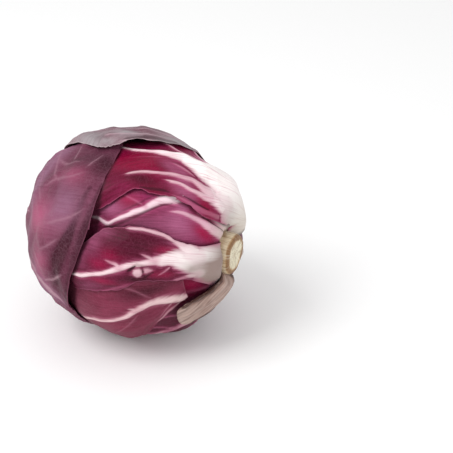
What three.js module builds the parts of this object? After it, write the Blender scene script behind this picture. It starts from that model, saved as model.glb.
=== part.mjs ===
// A whole head of radicchio lying on its side, in millimetres: +Z up, +X towards the cut stem,
// origin on the surface that it lies on, under the middle of the head.
// Each leaf is one thin closed shell wrapped round the head. Its shape is given on a ball as
// distances along the leaf from the stem and to either side, and its height above the centre is
// that of the head's outside, less the depth of the leaves that cover it.
import * as THREE from "three";
import { mergeVertices } from "three/addons/utils/BufferGeometryUtils.js";

// Driving dimensions.
const HEAD_RADIUS = 60; // of the ball that the leaves wrap
const STEM_REACH = 4; // how much further out the head is at its stem pole
const CENTRE = new THREE.Vector3(-1.7, 1.1, 56.2); // of the head; the flat spot it lies on is this far below
const LEAF_THICKNESS = 1.2;
const RIB_HEIGHT = 0.8; // how far a midrib stands out at its base
const RIB_SHARE = 2 / 3; // how much of a leaf's length its midrib stands out for
const OUTER_PITCH = 3.15; // from one outer leaf to the next
const CLEAR = 7.8; // distance beyond a covering leaf for which the one below stays down
const SETTLE = 30; // distance after that over which it rises again
const TIP_SHARE = 0.14; // a leaf's width at its very end, as a share of its widest
const TIP_POWERS = [2.4, 2.4]; // how square the leaf's round end is left and right: 2 is an ellipse
const NECK = 13.5; // distance from the stem pole at which the outermost leaves begin
const UNDERSIDE = -0.5; // Z of the directions below which the head is flattened to its resting spot
const MARGIN_STEPS = 24; // along each side of a leaf, where its margin is sampled
// The leaves of the tight inside. outermost and step are shares of the way out to what lies below
// the outer leaves; lengths and half widths are on the ball, like those of the outer leaves.
const INNER = {
  count: 12, outermost: 0.945, step: 0.066, typicalReach: 40,
  footHalf: 14, shoulder: 36, shoulderHalf: 42, middle: 100, middleHalf: 66, tipHalf: 68,
  rounds: 135, end: 178, longer: 4, last: 190,
};
const STEM = {
  cutX: 62, cutRadius: 11.2, bevel: 0.8, neckX: 54, neckRadius: 11.8,
  midX: 28, midRadius: 9, tipX: 6, tipRadius: 4, tipLength: 1.5, sides: 20,
};
const HEART = { x: -2, halfLength: 5.8, radius: 4.8, rings: 8, sides: 12 };
const STEM_GAP = 1.2; // between the stem and the feet of the inner leaves
const GOLDEN_ANGLE = 137.5; // between one leaf and the next round the stem
const OUTER_GRID = { rows: 8, roundRows: 6, halfColumns: 5 }; // roundRows are those of the round end
const FINE_GRID = { rows: 15, roundRows: 8, halfColumns: 6 };
const INNER_GRID = { rows: 6, roundRows: 4, halfColumns: 4 };

const LEAF_GREY = { color: 0x8a6674, roughness: 0.5 };
const LEAF_PURPLE = { color: 0x84465e, roughness: 0.48 };
const LEAF_MAGENTA = { color: 0x8a1242, roughness: 0.42 };
const LEAF_CRIMSON = { color: 0xa01238, roughness: 0.45 };
const RIB_TAN = { color: 0xa9827b, roughness: 0.6 };
const STEM_CREAM = { color: 0xe6dcc4, roughness: 0.7 };
const HEART_PINK = { color: 0xd9607a, roughness: 0.5 };

// Broad bulges and dents of the head's outside: towards a direction, how high, and how wide in radians.
const BULGES = [
  { towards: [-0.84, -0.05, 0.54], height: 2.5, width: 0.42 }, // shoulder above the tip
  { towards: [-0.5, -0.58, -0.64], height: -3, width: 0.42 }, // flatter side below the tip
  { towards: [0.52, 0.58, 0.62], height: -2.5, width: 0.35 }, // dent behind the upper leaf
  { towards: [0.8, 0.5, 0.32], height: 2, width: 0.3 }, // thick foot of the upper leaf
  { towards: [0.67, -0.2, -0.72], height: 2, width: 0.35 }, // fuller side below the stem
  { towards: [0.2, -0.4, -0.89], height: -1.2, width: 0.4 }, // flatter underside in front
  { towards: [0.1, 0.97, -0.2], height: -2, width: 0.6 }, // flatter back
  { towards: [-0.3, -0.93, 0.2], height: 1, width: 0.5 }, // fuller front
  { towards: [-0.6, 0.02, 0.8], height: 2.6, width: 0.32 }, // fuller top towards the tip
];

// The outer leaves, outermost first. turn is the leaf's angle round the stem, from the top (0) over
// the front (90) to the underside (180). stations are [along, left, rib, right], in millimetres on
// the ball: where the left margin, the midrib and the right margin are beside the leaf's meridian;
// right is towards a larger turn. The blade closes in a round end between rounds and end.
const OUTER_LEAVES = [
  {
    name: "trimmed_leaf_base", turn: 125, finish: RIB_TAN, rounds: 39, end: 47, thickness: 2.2,
    stations: [[NECK, -2, 5, 12], [24, -2, 8, 18], [34, -4, 6, 16], [47, -4, 5, 12]],
  },
  {
    name: "wrapper_leaf_top", turn: 300, finish: LEAF_GREY, rounds: 120, end: 160, grid: FINE_GRID,
    tipPowers: [2, 3.2],
    stations: [
      [NECK, -16, -9, -2], [24, -33, -24, -14], [40, -44, -30, -17], [50, -49, -26, -13], [57, -54, -16, -4],
      [63, -57, -4, 28], [70, -61, 1, 53], [83, -68, 4, 63], [109, -70, 6, 72], [160, -66, 5, 70],
    ],
  },
  {
    name: "wrapper_leaf_cap", turn: 235, finish: LEAF_PURPLE, rounds: 223, end: 283.5, grid: FINE_GRID,
    tipPowers: [1.95, 2.9],
    stations: [
      [NECK, -11, 0, 11], [42, -33, 0, 35], [84, -69, 0, 71], [126, -78, 0, 79],
      [230, -79, 0, 79], [284, -70, 4, 79],
    ],
  },
  {
    name: "outer_leaf_front", turn: 76, finish: LEAF_MAGENTA, rounds: 100, end: 128,
    stations: [
      [NECK, -8, 1, 14], [27, -8, -2, 11], [37, -11, -3, 9], [50, -16, -4, 9], [63, -19, -2, 10],
      [74, -20, 3, 16], [85, -16, 7, 20], [96, -8, 10, 22], [128, 0, 12, 24],
    ],
  },
  {
    name: "outer_leaf_upper", turn: 0, finish: LEAF_MAGENTA, rounds: 120, end: 160, grid: FINE_GRID,
    stations: [
      [NECK, -26, -13, 1], [34, -54, -11, 16], [50, -58, -5, 23], [62, -58, -1, 29],
      [74, -56, 3, 35], [84, -54, 9, 46], [140, -48, 12, 46],
    ],
  },
  {
    name: "outer_leaf_lower", turn: 107, finish: LEAF_MAGENTA, rounds: 115, end: 155,
    stations: [
      [36.5, -12, 1, 4], [46, -22, 0, 10], [57, -30, -2, 20], [72, -36, 5, 42],
      [92, -40, 10, 50], [136, -38, 12, 48],
    ],
  },
  {
    name: "outer_leaf_back", turn: 272, finish: LEAF_PURPLE, rounds: 140, end: 186,
    stations: [[14.5, -11, 0, 11], [40, -34, 0, 34], [70, -56, 0, 56], [100, -62, 0, 62], [150, -60, 0, 60]],
  },
  {
    name: "outer_leaf_middle", turn: 32, finish: LEAF_MAGENTA, rounds: 135, end: 178,
    stations: [
      [15, -12, -4, 11], [36, -26, -8, 28], [51, -32, -5, 36], [66, -36, 9, 43],
      [83, -38, 23, 50], [138, -36, 24, 48],
    ],
  },
  {
    name: "outer_leaf_low", turn: 142, finish: LEAF_MAGENTA, rounds: 138, end: 182,
    stations: [[15, -12, 0, 12], [38, -32, 0, 32], [66, -46, 0, 46], [96, -52, 0, 52], [138, -50, 0, 50]],
  },
  {
    name: "outer_leaf_under", turn: 212, finish: LEAF_PURPLE, rounds: 136, end: 180,
    stations: [[15.5, -12, 0, 12], [38, -32, 0, 32], [66, -50, 0, 50], [96, -56, 0, 56], [138, -54, 0, 54]],
  },
];

const radians = THREE.MathUtils.degToRad;
const lerp = THREE.MathUtils.lerp;
const clamp = THREE.MathUtils.clamp;
const STEM_POLE = new THREE.Vector3(1, 0, 0);

// The unit vector at a turn round the stem: 0 is up, 90 the front.
const sideways = (turn) => new THREE.Vector3(0, -Math.sin(radians(turn)), Math.cos(radians(turn)));

// The direction from the head's centre of a place on a leaf, along and across in millimetres on the ball.
function directionOf(leaf, along, across) {
  const s = along / HEAD_RADIUS;
  const t = across / HEAD_RADIUS;
  return new THREE.Vector3()
    .addScaledVector(STEM_POLE, Math.cos(s) * Math.cos(t))
    .addScaledVector(sideways(leaf.turn), Math.sin(s) * Math.cos(t))
    .addScaledVector(sideways(leaf.turn + 90), Math.sin(t));
}

// Where a direction falls on a leaf's own map: the inverse of directionOf.
function placeOn(leaf, direction) {
  const outward = direction.dot(sideways(leaf.turn));
  const s = Math.atan2(outward, direction.x);
  const t = Math.asin(clamp(direction.dot(sideways(leaf.turn + 90)), -1, 1));
  return { along: (s < 0 ? s + 2 * Math.PI : s) * HEAD_RADIUS, across: t * HEAD_RADIUS };
}

const startOf = (leaf) => leaf.stations[0][0];

// The leaf's [left, rib, right] at a distance along it.
function widthsAt(leaf, along) {
  leaf.line ??= new THREE.CubicInterpolant(
    leaf.stations.map((station) => station[0]),
    leaf.stations.flatMap((station) => station.slice(1)),
    3,
    [0, 0, 0],
  );
  const [left, rib, right] = leaf.line.evaluate(clamp(along, startOf(leaf), leaf.end));
  const closing = clamp((along - leaf.rounds) / (leaf.end - leaf.rounds), 0, 1);
  const middle = (left + right) / 2;
  const [leftPower, rightPower] = leaf.tipPowers ?? TIP_POWERS;
  return [left, rib, right].map((across) => {
    const power = across < middle ? leftPower : rightPower;
    return middle + (across - middle) * Math.max((1 - closing ** power) ** (1 / power), TIP_SHARE);
  });
}

// Points along the leaf's margin, as directions, for measuring how far away the leaf is.
function marginOf(leaf) {
  const points = [directionOf(leaf, leaf.end, 0)];
  for (let i = 0; i <= MARGIN_STEPS; i++) {
    const part = i / MARGIN_STEPS;
    const straight = lerp(startOf(leaf), leaf.rounds, part);
    const round = lerp(leaf.rounds, leaf.end, Math.sin((part * Math.PI) / 2));
    for (const along of [straight, round]) {
      const [left, , right] = widthsAt(leaf, along);
      points.push(directionOf(leaf, along, left), directionOf(leaf, along, right));
    }
  }
  return points;
}

// How far a leaf presses down what is below it: 1 under the leaf and near it, falling to 0 beyond.
function cover(leaf, direction) {
  const { along, across } = placeOn(leaf, direction);
  const [left, , right] = widthsAt(leaf, along);
  if (along >= startOf(leaf) && along <= leaf.end && across >= left && across <= right) return 1;
  leaf.margin ??= marginOf(leaf);
  const away = Math.min(...leaf.margin.map((point) => point.distanceTo(direction))) * HEAD_RADIUS;
  return 1 - THREE.MathUtils.smoothstep(away, CLEAR, CLEAR + SETTLE);
}

// The head's outside: its distance from the centre in a direction, flat where it rests.
function outside(direction) {
  let reach = HEAD_RADIUS + STEM_REACH * Math.max(direction.x, 0) ** 3;
  for (const { towards, height, width } of BULGES) {
    const angle = direction.angleTo(new THREE.Vector3(...towards));
    reach += height * Math.exp(-((angle / width) ** 2));
  }
  return direction.z < UNDERSIDE ? Math.min(reach, CENTRE.z / -direction.z) : reach;
}

// The distance of a leaf's outer face from the centre: below every outer leaf that is listed before it.
// An inner leaf is a share of the way out to what lies below them all.
function reachOf(leaf, direction) {
  const above = leaf.share ? OUTER_LEAVES : OUTER_LEAVES.slice(0, OUTER_LEAVES.indexOf(leaf));
  const depth = above.reduce((sum, other) => sum + OUTER_PITCH * cover(other, direction), 0);
  return (leaf.share ?? 1) * (outside(direction) - depth);
}

// A leaf as one closed shell: a grid of points on its outer face, the same grid on its inner face, and a rim.
function leafGeometry(leaf) {
  const { halfColumns, ...grid } = leaf.grid ?? OUTER_GRID;
  const rows = grid.rows + grid.roundRows;
  const columns = 2 * halfColumns;
  const thickness = leaf.thickness ?? LEAF_THICKNESS;
  const positions = [];
  for (const depth of [0, thickness]) {
    for (let i = 0; i <= rows; i++) {
      const along = i < grid.rows
        ? lerp(startOf(leaf), leaf.rounds, i / grid.rows)
        : lerp(leaf.rounds, leaf.end, Math.sin((((i - grid.rows) / grid.roundRows) * Math.PI) / 2));
      const [left, rib, right] = widthsAt(leaf, along);
      for (let j = 0; j <= columns; j++) {
        const side = j / halfColumns - 1;
        const across = side < 0 ? lerp(rib, left, -side) : lerp(rib, right, side);
        const ridge = depth === 0 && side === 0 ? RIB_HEIGHT * Math.max(1 - i / rows / RIB_SHARE, 0) : 0;
        const direction = directionOf(leaf, along, across);
        const point = direction.clone().multiplyScalar(reachOf(leaf, direction) - depth + ridge).add(CENTRE);
        positions.push(point.x, point.y, Math.max(point.z, 0));
      }
    }
  }
  const at = (face, i, j) => (face * (rows + 1) + i) * (columns + 1) + j;
  const indices = [];
  const quad = (a, b, c, d) => indices.push(a, b, c, a, c, d);
  for (let i = 0; i < rows; i++) {
    for (let j = 0; j < columns; j++) {
      quad(at(0, i, j), at(0, i + 1, j), at(0, i + 1, j + 1), at(0, i, j + 1));
      quad(at(1, i, j), at(1, i, j + 1), at(1, i + 1, j + 1), at(1, i + 1, j));
    }
    quad(at(0, i, 0), at(1, i, 0), at(1, i + 1, 0), at(0, i + 1, 0));
    quad(at(0, i, columns), at(0, i + 1, columns), at(1, i + 1, columns), at(1, i, columns));
  }
  for (let j = 0; j < columns; j++) {
    quad(at(0, 0, j), at(0, 0, j + 1), at(1, 0, j + 1), at(1, 0, j));
    quad(at(0, rows, j), at(1, rows, j), at(1, rows, j + 1), at(0, rows, j + 1));
  }
  const geometry = new THREE.BufferGeometry();
  geometry.setAttribute("position", new THREE.Float32BufferAttribute(positions, 3));
  geometry.setIndex(indices);
  geometry.computeVertexNormals();
  return geometry;
}

// The leaves of the tight inside, each one step in from the last and turned by the golden angle.
function innerLeaves() {
  const lastTurn = OUTER_LEAVES.at(-1).turn;
  return Array.from({ length: INNER.count }, (_, k) => {
    const share = INNER.outermost - INNER.step * k;
    const radius = share * INNER.typicalReach;
    const foot = stemRadiusAt(radius) + STEM_GAP;
    const start = Math.asin(foot / (radius - LEAF_THICKNESS)) * HEAD_RADIUS;
    const station = (along, half) => [along, -half, 0, half];
    return {
      name: `inner_leaf_${String(k + 1).padStart(2, "0")}`,
      turn: (lastTurn + GOLDEN_ANGLE * (k + 1)) % 360,
      finish: LEAF_CRIMSON,
      grid: INNER_GRID,
      share,
      rounds: INNER.rounds,
      end: INNER.end + INNER.longer * (k % 3),
      stations: [
        station(start, INNER.footHalf),
        station(start + INNER.shoulder, INNER.shoulderHalf),
        station(INNER.middle, INNER.middleHalf),
        station(INNER.last, INNER.tipHalf),
      ],
    };
  });
}

// The stem's radius at a distance from the head's centre along +X.
function stemRadiusAt(x) {
  const line = [[STEM.tipX, STEM.tipRadius], [STEM.midX, STEM.midRadius], [STEM.neckX, STEM.neckRadius]];
  const [[x0, r0], [x1, r1]] = x < STEM.midX ? line.slice(0, 2) : line.slice(1);
  return lerp(r0, r1, clamp((x - x0) / (x1 - x0), 0, 1));
}

// A solid turned about the head's long axis from [distance along +X, radius] pairs that start and end on it.
function turned(profile, segments) {
  const geometry = new THREE.LatheGeometry(profile.map(([x, r]) => new THREE.Vector2(r, x)), segments);
  geometry.rotateZ(-Math.PI / 2);
  geometry.translate(CENTRE.x, CENTRE.y, CENTRE.z);
  geometry.deleteAttribute("uv");
  geometry.deleteAttribute("normal");
  const merged = mergeVertices(geometry);
  merged.computeVertexNormals();
  return merged;
}

function stemGeometry() {
  const profile = [
    [STEM.tipX - STEM.tipLength, 0],
    [STEM.tipX, STEM.tipRadius],
    [STEM.midX, STEM.midRadius],
    [STEM.neckX, STEM.neckRadius],
    [STEM.cutX - STEM.bevel, STEM.cutRadius],
    [STEM.cutX, STEM.cutRadius - STEM.bevel],
    [STEM.cutX, 0],
  ];
  return turned(profile, STEM.sides);
}

function heartGeometry() {
  const profile = Array.from({ length: HEART.rings + 1 }, (_, i) => {
    const angle = (Math.PI * i) / HEART.rings;
    const radius = i % HEART.rings === 0 ? 0 : HEART.radius * Math.sin(angle);
    return [HEART.x - HEART.halfLength * Math.cos(angle), radius];
  });
  return turned(profile, HEART.sides);
}

function piece(name, geometry, finish) {
  const mesh = new THREE.Mesh(geometry, new THREE.MeshStandardMaterial({ ...finish, metalness: 0 }));
  mesh.name = name;
  return mesh;
}

const head = new THREE.Group();
head.add(piece("stem_core", stemGeometry(), STEM_CREAM));
head.add(piece("heart_bud", heartGeometry(), HEART_PINK));
for (const leaf of [...OUTER_LEAVES, ...innerLeaves()]) {
  head.add(piece(leaf.name, leafGeometry(leaf), leaf.finish));
}

export default head;
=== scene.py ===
"""The looks of a whole radicchio head that lies on its side, on a plain pale floor.

Every leaf is described on a ball as distances along it from the stem and across it, in
millimetres, and wrapped over the head. The head's own form is in millimetres too, and each mesh
is written in metres: +Z up, +X towards the cut stem, -Y the front.
"""

import logging
import math
from collections.abc import Callable, Sequence
from dataclasses import dataclass
from enum import Enum

import bpy
import numpy as np
from mathutils import Matrix, Vector

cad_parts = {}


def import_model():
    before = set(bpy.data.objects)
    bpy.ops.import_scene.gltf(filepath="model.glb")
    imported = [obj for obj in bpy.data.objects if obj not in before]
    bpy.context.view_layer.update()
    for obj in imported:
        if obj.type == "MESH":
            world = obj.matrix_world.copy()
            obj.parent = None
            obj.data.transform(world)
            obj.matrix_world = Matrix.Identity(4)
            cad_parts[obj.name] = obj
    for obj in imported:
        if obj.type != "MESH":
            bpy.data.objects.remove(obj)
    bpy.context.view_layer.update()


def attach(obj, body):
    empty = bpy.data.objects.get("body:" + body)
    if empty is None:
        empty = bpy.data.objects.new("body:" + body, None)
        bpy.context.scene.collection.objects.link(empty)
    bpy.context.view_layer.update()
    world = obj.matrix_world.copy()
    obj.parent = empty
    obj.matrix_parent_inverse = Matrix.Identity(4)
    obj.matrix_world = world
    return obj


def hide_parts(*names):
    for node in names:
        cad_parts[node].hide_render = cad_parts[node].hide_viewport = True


LOG = logging.getLogger("radicchio")
MM = 0.001  # metres in a millimetre
BODY = "root"
STREAK_MAP = "streaks"
STREAK_UNIT = 100.0  # millimetres to a unit of the streak map
GRAIN_LENGTH = 60.0  # millimetres to a unit along the fibres of cut flesh
GRAIN_WIDTH = 6.0
NOTHING = 1e-6  # small enough to count as none
FULL_TURN = 2 * np.pi

Array = np.ndarray
Places = np.ndarray  # one row of (along, across) for each place on a leaf
Directions = np.ndarray  # one unit vector from the head's centre in each row
Colour = tuple[float, float, float, float]
Point = tuple[float, float, float]
Place = tuple[float, float]  # along and across a leaf, in millimetres
VeinPoint = tuple[float, float, float]  # along, across, half width


def tint(code: str) -> Colour:
    """Turns a screen colour into the linear one that shaders take.

    Args:
        code: Six hexadecimal digits, red first.

    Returns:
        Linear red, green, blue and an alpha of 1.
    """
    parts = [int(code[i : i + 2], 16) / 255 for i in (0, 2, 4)]
    linear = [p / 12.92 if p <= 0.04045 else ((p + 0.055) / 1.055) ** 2.4 for p in parts]
    return (linear[0], linear[1], linear[2], 1.0)


def smooth(value: Array, low: float, high: float) -> Array:
    """Rises smoothly from 0 at low to 1 at high.

    Args:
        value: The numbers to map.
        low: Where the rise starts.
        high: Where it ends; below low it falls instead.

    Returns:
        A number from 0 to 1 for each value.
    """
    part = np.clip((value - low) / (high - low), 0, 1)
    return part * part * (3 - 2 * part)


def fine_line(points: Sequence[Sequence[float]], step: float = 1.5) -> Array:
    """Draws a smooth line through points.

    Args:
        points: Rows of numbers, of which the first two are a place.
        step: The longest distance between the points returned.

    Returns:
        One row for each point of the smooth line.
    """
    given = np.asarray(points, float)
    ends = np.vstack([2 * given[0] - given[1], given, 2 * given[-1] - given[-2]])
    rows = []
    for before, start, stop, after in zip(ends, ends[1:], ends[2:], ends[3:]):
        count = max(1, math.ceil(np.linalg.norm((stop - start)[:2]) / step))
        t = np.linspace(0, 1, count, endpoint=False)[:, None]
        bend = 2 * before - 5 * start + 4 * stop - after
        twist = 3 * start - before - 3 * stop + after
        rows.append(start + 0.5 * t * ((stop - before) + t * (bend + t * twist)))
    return np.vstack([*rows, given[-1:]])


def near_line(places: Places, line: Array) -> tuple[Array, Array]:
    """Measures how far places are from a line.

    Args:
        places: The places.
        line: The points of the line; numbers after the first two ride along with them.

    Returns:
        The distance of each place, and the line's other numbers at the nearest point.
    """
    best = np.full(len(places), np.inf)
    rides = np.zeros((len(places), line.shape[1] - 2))
    for start, stop in zip(line, line[1:]):
        way = stop[:2] - start[:2]
        length = max(float(way @ way), 1e-9)
        t = np.clip((places - start[:2]) @ way / length, 0, 1)
        gap = places - start[:2] - t[:, None] * way
        away = np.hypot(gap[:, 0], gap[:, 1])
        closer = away < best
        best[closer] = away[closer]
        rides[closer] = start[2:] + t[closer, None] * (stop[2:] - start[2:])
    return best, rides


class Tone(Enum):
    """What a patch of a leaf's blade leans towards, and its channel in the mesh."""

    GLOW = 0  # vivid magenta
    DUSK = 1  # dark maroon: the leaf's own dark patches, and painted shade in furrows, round the tear and on leaves in shadow
    BLOOM = 2  # pale mauve: the leaf's waxy bloom, and painted sheen where light from above glances off
    CREASE = 3  # painted shade, nearly black: in folds, hollows and beside the margins of the leaves above


@dataclass(frozen=True)
class Vein:
    """A vein or rib: its line, how far it stands out, and how white it is."""

    line: tuple[VeinPoint, ...]
    rise: float = 0.5
    white: float = 0.55

    def faded(self, thin: float = 0.75, run: float = 7.0) -> Array:
        """The vein's smooth line, whose thin ends fade away.

        Args:
            thin: The half width under which an end fades.
            run: How far from its end a vein starts to fade.

        Returns:
            One row of (along, across, half width) for each point.
        """
        line = fine_line(self.line)
        steps = np.hypot(*np.diff(line[:, :2], axis=0).T)
        run = min(run, steps.sum() / 3)
        gone = np.concatenate([[0.0], np.cumsum(steps)])
        for end, way in ((0, gone), (-1, gone[-1] - gone)):
            if self.line[end][2] < thin:
                line[:, 2] -= 0.9 * (1 - np.clip(way / run, 0, 1)) ** 2
        return line


@dataclass(frozen=True)
class Patch:
    """A soft oval patch of colour on a blade. size is its half length and half width."""

    tone: Tone
    at: Place
    size: Place
    strength: float = 1.0
    turned: float = 0.0

    def amount(self, places: Places) -> Array:
        """How strong the patch is at each place."""
        angle = math.radians(self.turned)
        way = [[math.cos(angle), -math.sin(angle)], [math.sin(angle), math.cos(angle)]]
        offset = (places - np.array(self.at)) @ np.array(way) / np.array(self.size)
        return self.strength * np.exp(-(offset**2).sum(1))


def ovals(tone: Tone, *rows: tuple[float, ...]) -> tuple[Patch, ...]:
    """Makes several patches of one tone.

    Args:
        tone: What they lean towards.
        rows: Along, across, half length, half width, strength and any turn of each.

    Returns:
        One patch for each row.
    """
    return tuple(Patch(tone, row[:2], row[2:4], *row[4:]) for row in rows)


@dataclass(frozen=True)
class Stain:
    """A streak of colour along a line, as wide as the line's own half widths."""

    tone: Tone
    line: tuple[VeinPoint, ...]
    strength: float = 0.8

    def amount(self, places: Places) -> Array:
        """How strong the streak is at each place."""
        away, rides = near_line(places, fine_line(self.line))
        return self.strength * smooth(away / rides[:, 0], 1.0, 0.1)


@dataclass(frozen=True)
class Area:
    """A broad pale area with an outline, such as the lip of a small tear."""

    outline: tuple[Place, ...]
    rise: float = 0.6
    white: float = 1.0

    def inside(self, places: Places) -> Array:
        """How far inside its outline each place is.

        Args:
            places: The places.

        Returns:
            A distance for each place, negative outside.
        """
        ring = np.array([*self.outline, self.outline[0]])
        away, _ = near_line(places, ring)
        crossed = np.zeros(len(places), bool)
        x, y = places.T
        for (x0, y0), (x1, y1) in zip(ring, ring[1:]):
            between = (y0 > y) != (y1 > y)
            crossed ^= between & (x < (x1 - x0) * (y - y0) / (y1 - y0 + 1e-9) + x0)
        return np.where(crossed, away, -away)


@dataclass(frozen=True)
class Fold:
    """A soft ridge, or with a negative height a furrow, along a line on a blade."""

    line: tuple[Place, ...]
    height: float
    width: float


@dataclass(frozen=True)
class Lift:
    """A stretch of a leaf's margin that stands off the leaf below it, or hugs it more."""

    at: Place
    radius: float
    height: float


@dataclass(frozen=True)
class Bulge:
    """A broad bulge or dent of the head's outside. width is in radians."""

    towards: Point
    height: float
    width: float


def sideways(turn: float) -> Array:
    """The direction at a turn round the stem: 0 is up, 90 the front, 180 down."""
    return np.array([0.0, -math.sin(math.radians(turn)), math.cos(math.radians(turn))])


@dataclass(frozen=True)
class HeadForm:
    """The head's outside, as a distance from its centre in every direction."""

    radius: float = 60.0
    stem_reach: float = 4.0
    centre: Point = (-1.7, 1.1, 56.2)
    underside: float = -0.5
    bulges: tuple[Bulge, ...] = (
        Bulge((-0.84, -0.05, 0.54), 2.5, 0.42),
        Bulge((-0.5, -0.58, -0.64), -3.0, 0.42),
        Bulge((0.52, 0.58, 0.62), -2.5, 0.35),
        Bulge((0.8, 0.5, 0.32), 2.0, 0.3),
        Bulge((0.67, -0.2, -0.72), 2.0, 0.35),
        Bulge((0.2, -0.4, -0.89), -1.2, 0.4),
        Bulge((0.1, 0.97, -0.2), -2.0, 0.6),
        Bulge((-0.3, -0.93, 0.2), 1.0, 0.5),
        Bulge((-0.6, 0.02, 0.8), 2.6, 0.32),
    )

    def outside(self, direction: Directions) -> Array:
        """The distance of the outside from the centre.

        Args:
            direction: The directions.

        Returns:
            One distance in millimetres for each of them.
        """
        reach = self.radius + self.stem_reach * np.maximum(direction[:, 0], 0) ** 3
        for bulge in self.bulges:
            towards = np.array(bulge.towards) / np.linalg.norm(bulge.towards)
            angle = np.arccos(np.clip(direction @ towards, -1, 1))
            reach = reach + bulge.height * np.exp(-((angle / bulge.width) ** 2))
        down = direction[:, 2]
        flat = self.centre[2] / np.maximum(-down, NOTHING)
        return np.where(down < self.underside, np.minimum(reach, flat), reach)

    def points(self, direction: Directions, reach: Array) -> Array:
        """Places in space, in metres, none of them below the floor.

        Args:
            direction: The directions.
            reach: The distance from the centre along each, in millimetres.

        Returns:
            One point in each row.
        """
        made = np.array(self.centre) + direction * reach[:, None]
        made[:, 2] = np.maximum(made[:, 2], 0)
        return made * MM


def operation(kind: str, flipped: bool = False) -> Callable[["Wire", "Wire | float"], "Wire"]:
    """Makes a method that adds a Math node on a value and another.

    Args:
        kind: What the node does with them.
        flipped: Whether the other value comes first.

    Returns:
        The method.
    """

    def method(self: "Wire", other: "Wire | float") -> "Wire":
        """Adds the node."""
        values = (other, self) if flipped else (self, other)
        return self.shader.node("Math", dict(enumerate(values)), operation=kind)

    return method


class Wire:
    """A value that runs between shader nodes and is written like a number."""

    __add__ = __radd__ = operation("ADD")
    __sub__ = operation("SUBTRACT")
    __rsub__ = operation("SUBTRACT", flipped=True)
    __mul__ = __rmul__ = operation("MULTIPLY")
    __truediv__ = operation("DIVIDE")
    at_most = operation("MINIMUM")
    at_least = operation("MAXIMUM")

    def __init__(self, shader: "Shader", socket: bpy.types.NodeSocket) -> None:
        """Keeps the socket that gives the value."""
        self.shader = shader
        self.socket = socket

    def rising(self, low: float, high: float) -> "Wire":
        """Rises smoothly from 0 at low to 1 at high, or falls where high is the lower.

        Args:
            low: Where the rise starts.
            high: Where it ends.

        Returns:
            The mapped value.
        """
        inputs = {"Value": self, "From Min": min(low, high), "From Max": max(low, high)}
        mapped = self.shader.node("MapRange", inputs, interpolation_type="SMOOTHSTEP")
        return 1 - mapped if high < low else mapped


class Shader:
    """A material's node tree, built from Python expressions."""

    def __init__(self, name: str) -> None:
        """Starts a material that holds no nodes."""
        self.material = bpy.data.materials.new(name)
        self.material.use_nodes = True
        self.tree = self.material.node_tree
        self.tree.nodes.clear()

    def node(
        self, kind: str, inputs: dict[int | str, object], output: int | str = 0, **settings: str
    ) -> Wire:
        """Adds a node.

        Args:
            kind: The node's type, without its prefix.
            inputs: A value or a Wire for each socket, by name or number.
            output: The socket whose value is wanted.
            settings: The node's properties, set before its sockets.

        Returns:
            The wanted value.
        """
        made = self.tree.nodes.new("ShaderNode" + kind)
        for name, value in settings.items():
            setattr(made, name, value)
        for key, value in inputs.items():
            if isinstance(value, Wire):
                self.tree.links.new(value.socket, made.inputs[key])
            else:
                made.inputs[key].default_value = value
        return Wire(self, made.outputs[output])

    def mix(self, amount: Wire | float, first: Wire | Colour, second: Wire | Colour) -> Wire:
        """Blends two colours: an amount of 0 gives the first, 1 the second."""
        return self.node("Mix", {0: amount, 6: first, 7: second}, 2, data_type="RGBA")

    def layers(self, base: Wire, *coats: tuple[Wire, str]) -> Wire:
        """Lays screen colours over a colour, one after the other.

        Args:
            base: The colour below them.
            coats: How much of each colour there is, and its six hexadecimal digits.

        Returns:
            The blended colour.
        """
        for amount, code in coats:
            base = self.mix(amount, base, tint(code))
        return base

    def attribute(self, name: str) -> tuple[Wire, Wire, Wire]:
        """The three numbers of one of the mesh's own attributes."""
        return self.split(self.node("Attribute", {}, "Vector", attribute_name=name))

    def split(self, vector: Wire) -> tuple[Wire, Wire, Wire]:
        """The three parts of a vector."""
        parts = self.node("SeparateXYZ", {0: vector}).socket.node.outputs
        return Wire(self, parts[0]), Wire(self, parts[1]), Wire(self, parts[2])

    def vector(self, x: Wire | float, y: Wire | float, z: Wire | float = 0.0) -> Wire:
        """A vector from its three parts."""
        return self.node("CombineXYZ", {0: x, 1: y, 2: z})

    def object_place(self) -> Wire:
        """The place on the object, in metres."""
        return self.node("TexCoord", {}, "Object")

    def noise(self, where: Wire, scale: float, detail: float = 3.0, warp: float = 0.0) -> Wire:
        """Soft noise from 0 to 1.

        Args:
            where: The coordinates that it follows.
            scale: How many features to a unit.
            detail: How many finer layers it has.
            warp: How far it is distorted.

        Returns:
            The noise.
        """
        inputs = {"Vector": where, "Scale": scale, "Detail": detail, "Distortion": warp}
        return self.node("TexNoise", inputs)

    def cells(self, where: Wire, scale: float) -> Wire:
        """The distance to the edge of a cell in a net of uneven cells."""
        inputs = {"Vector": where, "Scale": scale}
        return self.node("TexVoronoi", inputs, feature="DISTANCE_TO_EDGE")

    def bump(self, height: Wire, depth: float) -> Wire:
        """A normal that follows a height from 0 to 1, depth metres tall."""
        return self.node("Bump", {"Height": height, "Distance": depth, "Strength": 1.0})

    def surface(self, linked: dict[str, Wire], fixed: dict[str, float]) -> bpy.types.Material:
        """Ends the tree with one surface.

        Args:
            linked: What changes over the surface, by socket.
            fixed: What is the same all over it, by socket.

        Returns:
            The finished material.
        """
        closed = self.node("BsdfPrincipled", {**fixed, **linked})
        end = self.tree.nodes.new("ShaderNodeOutputMaterial")
        self.tree.links.new(closed.socket, end.inputs["Surface"])
        return self.material


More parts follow.
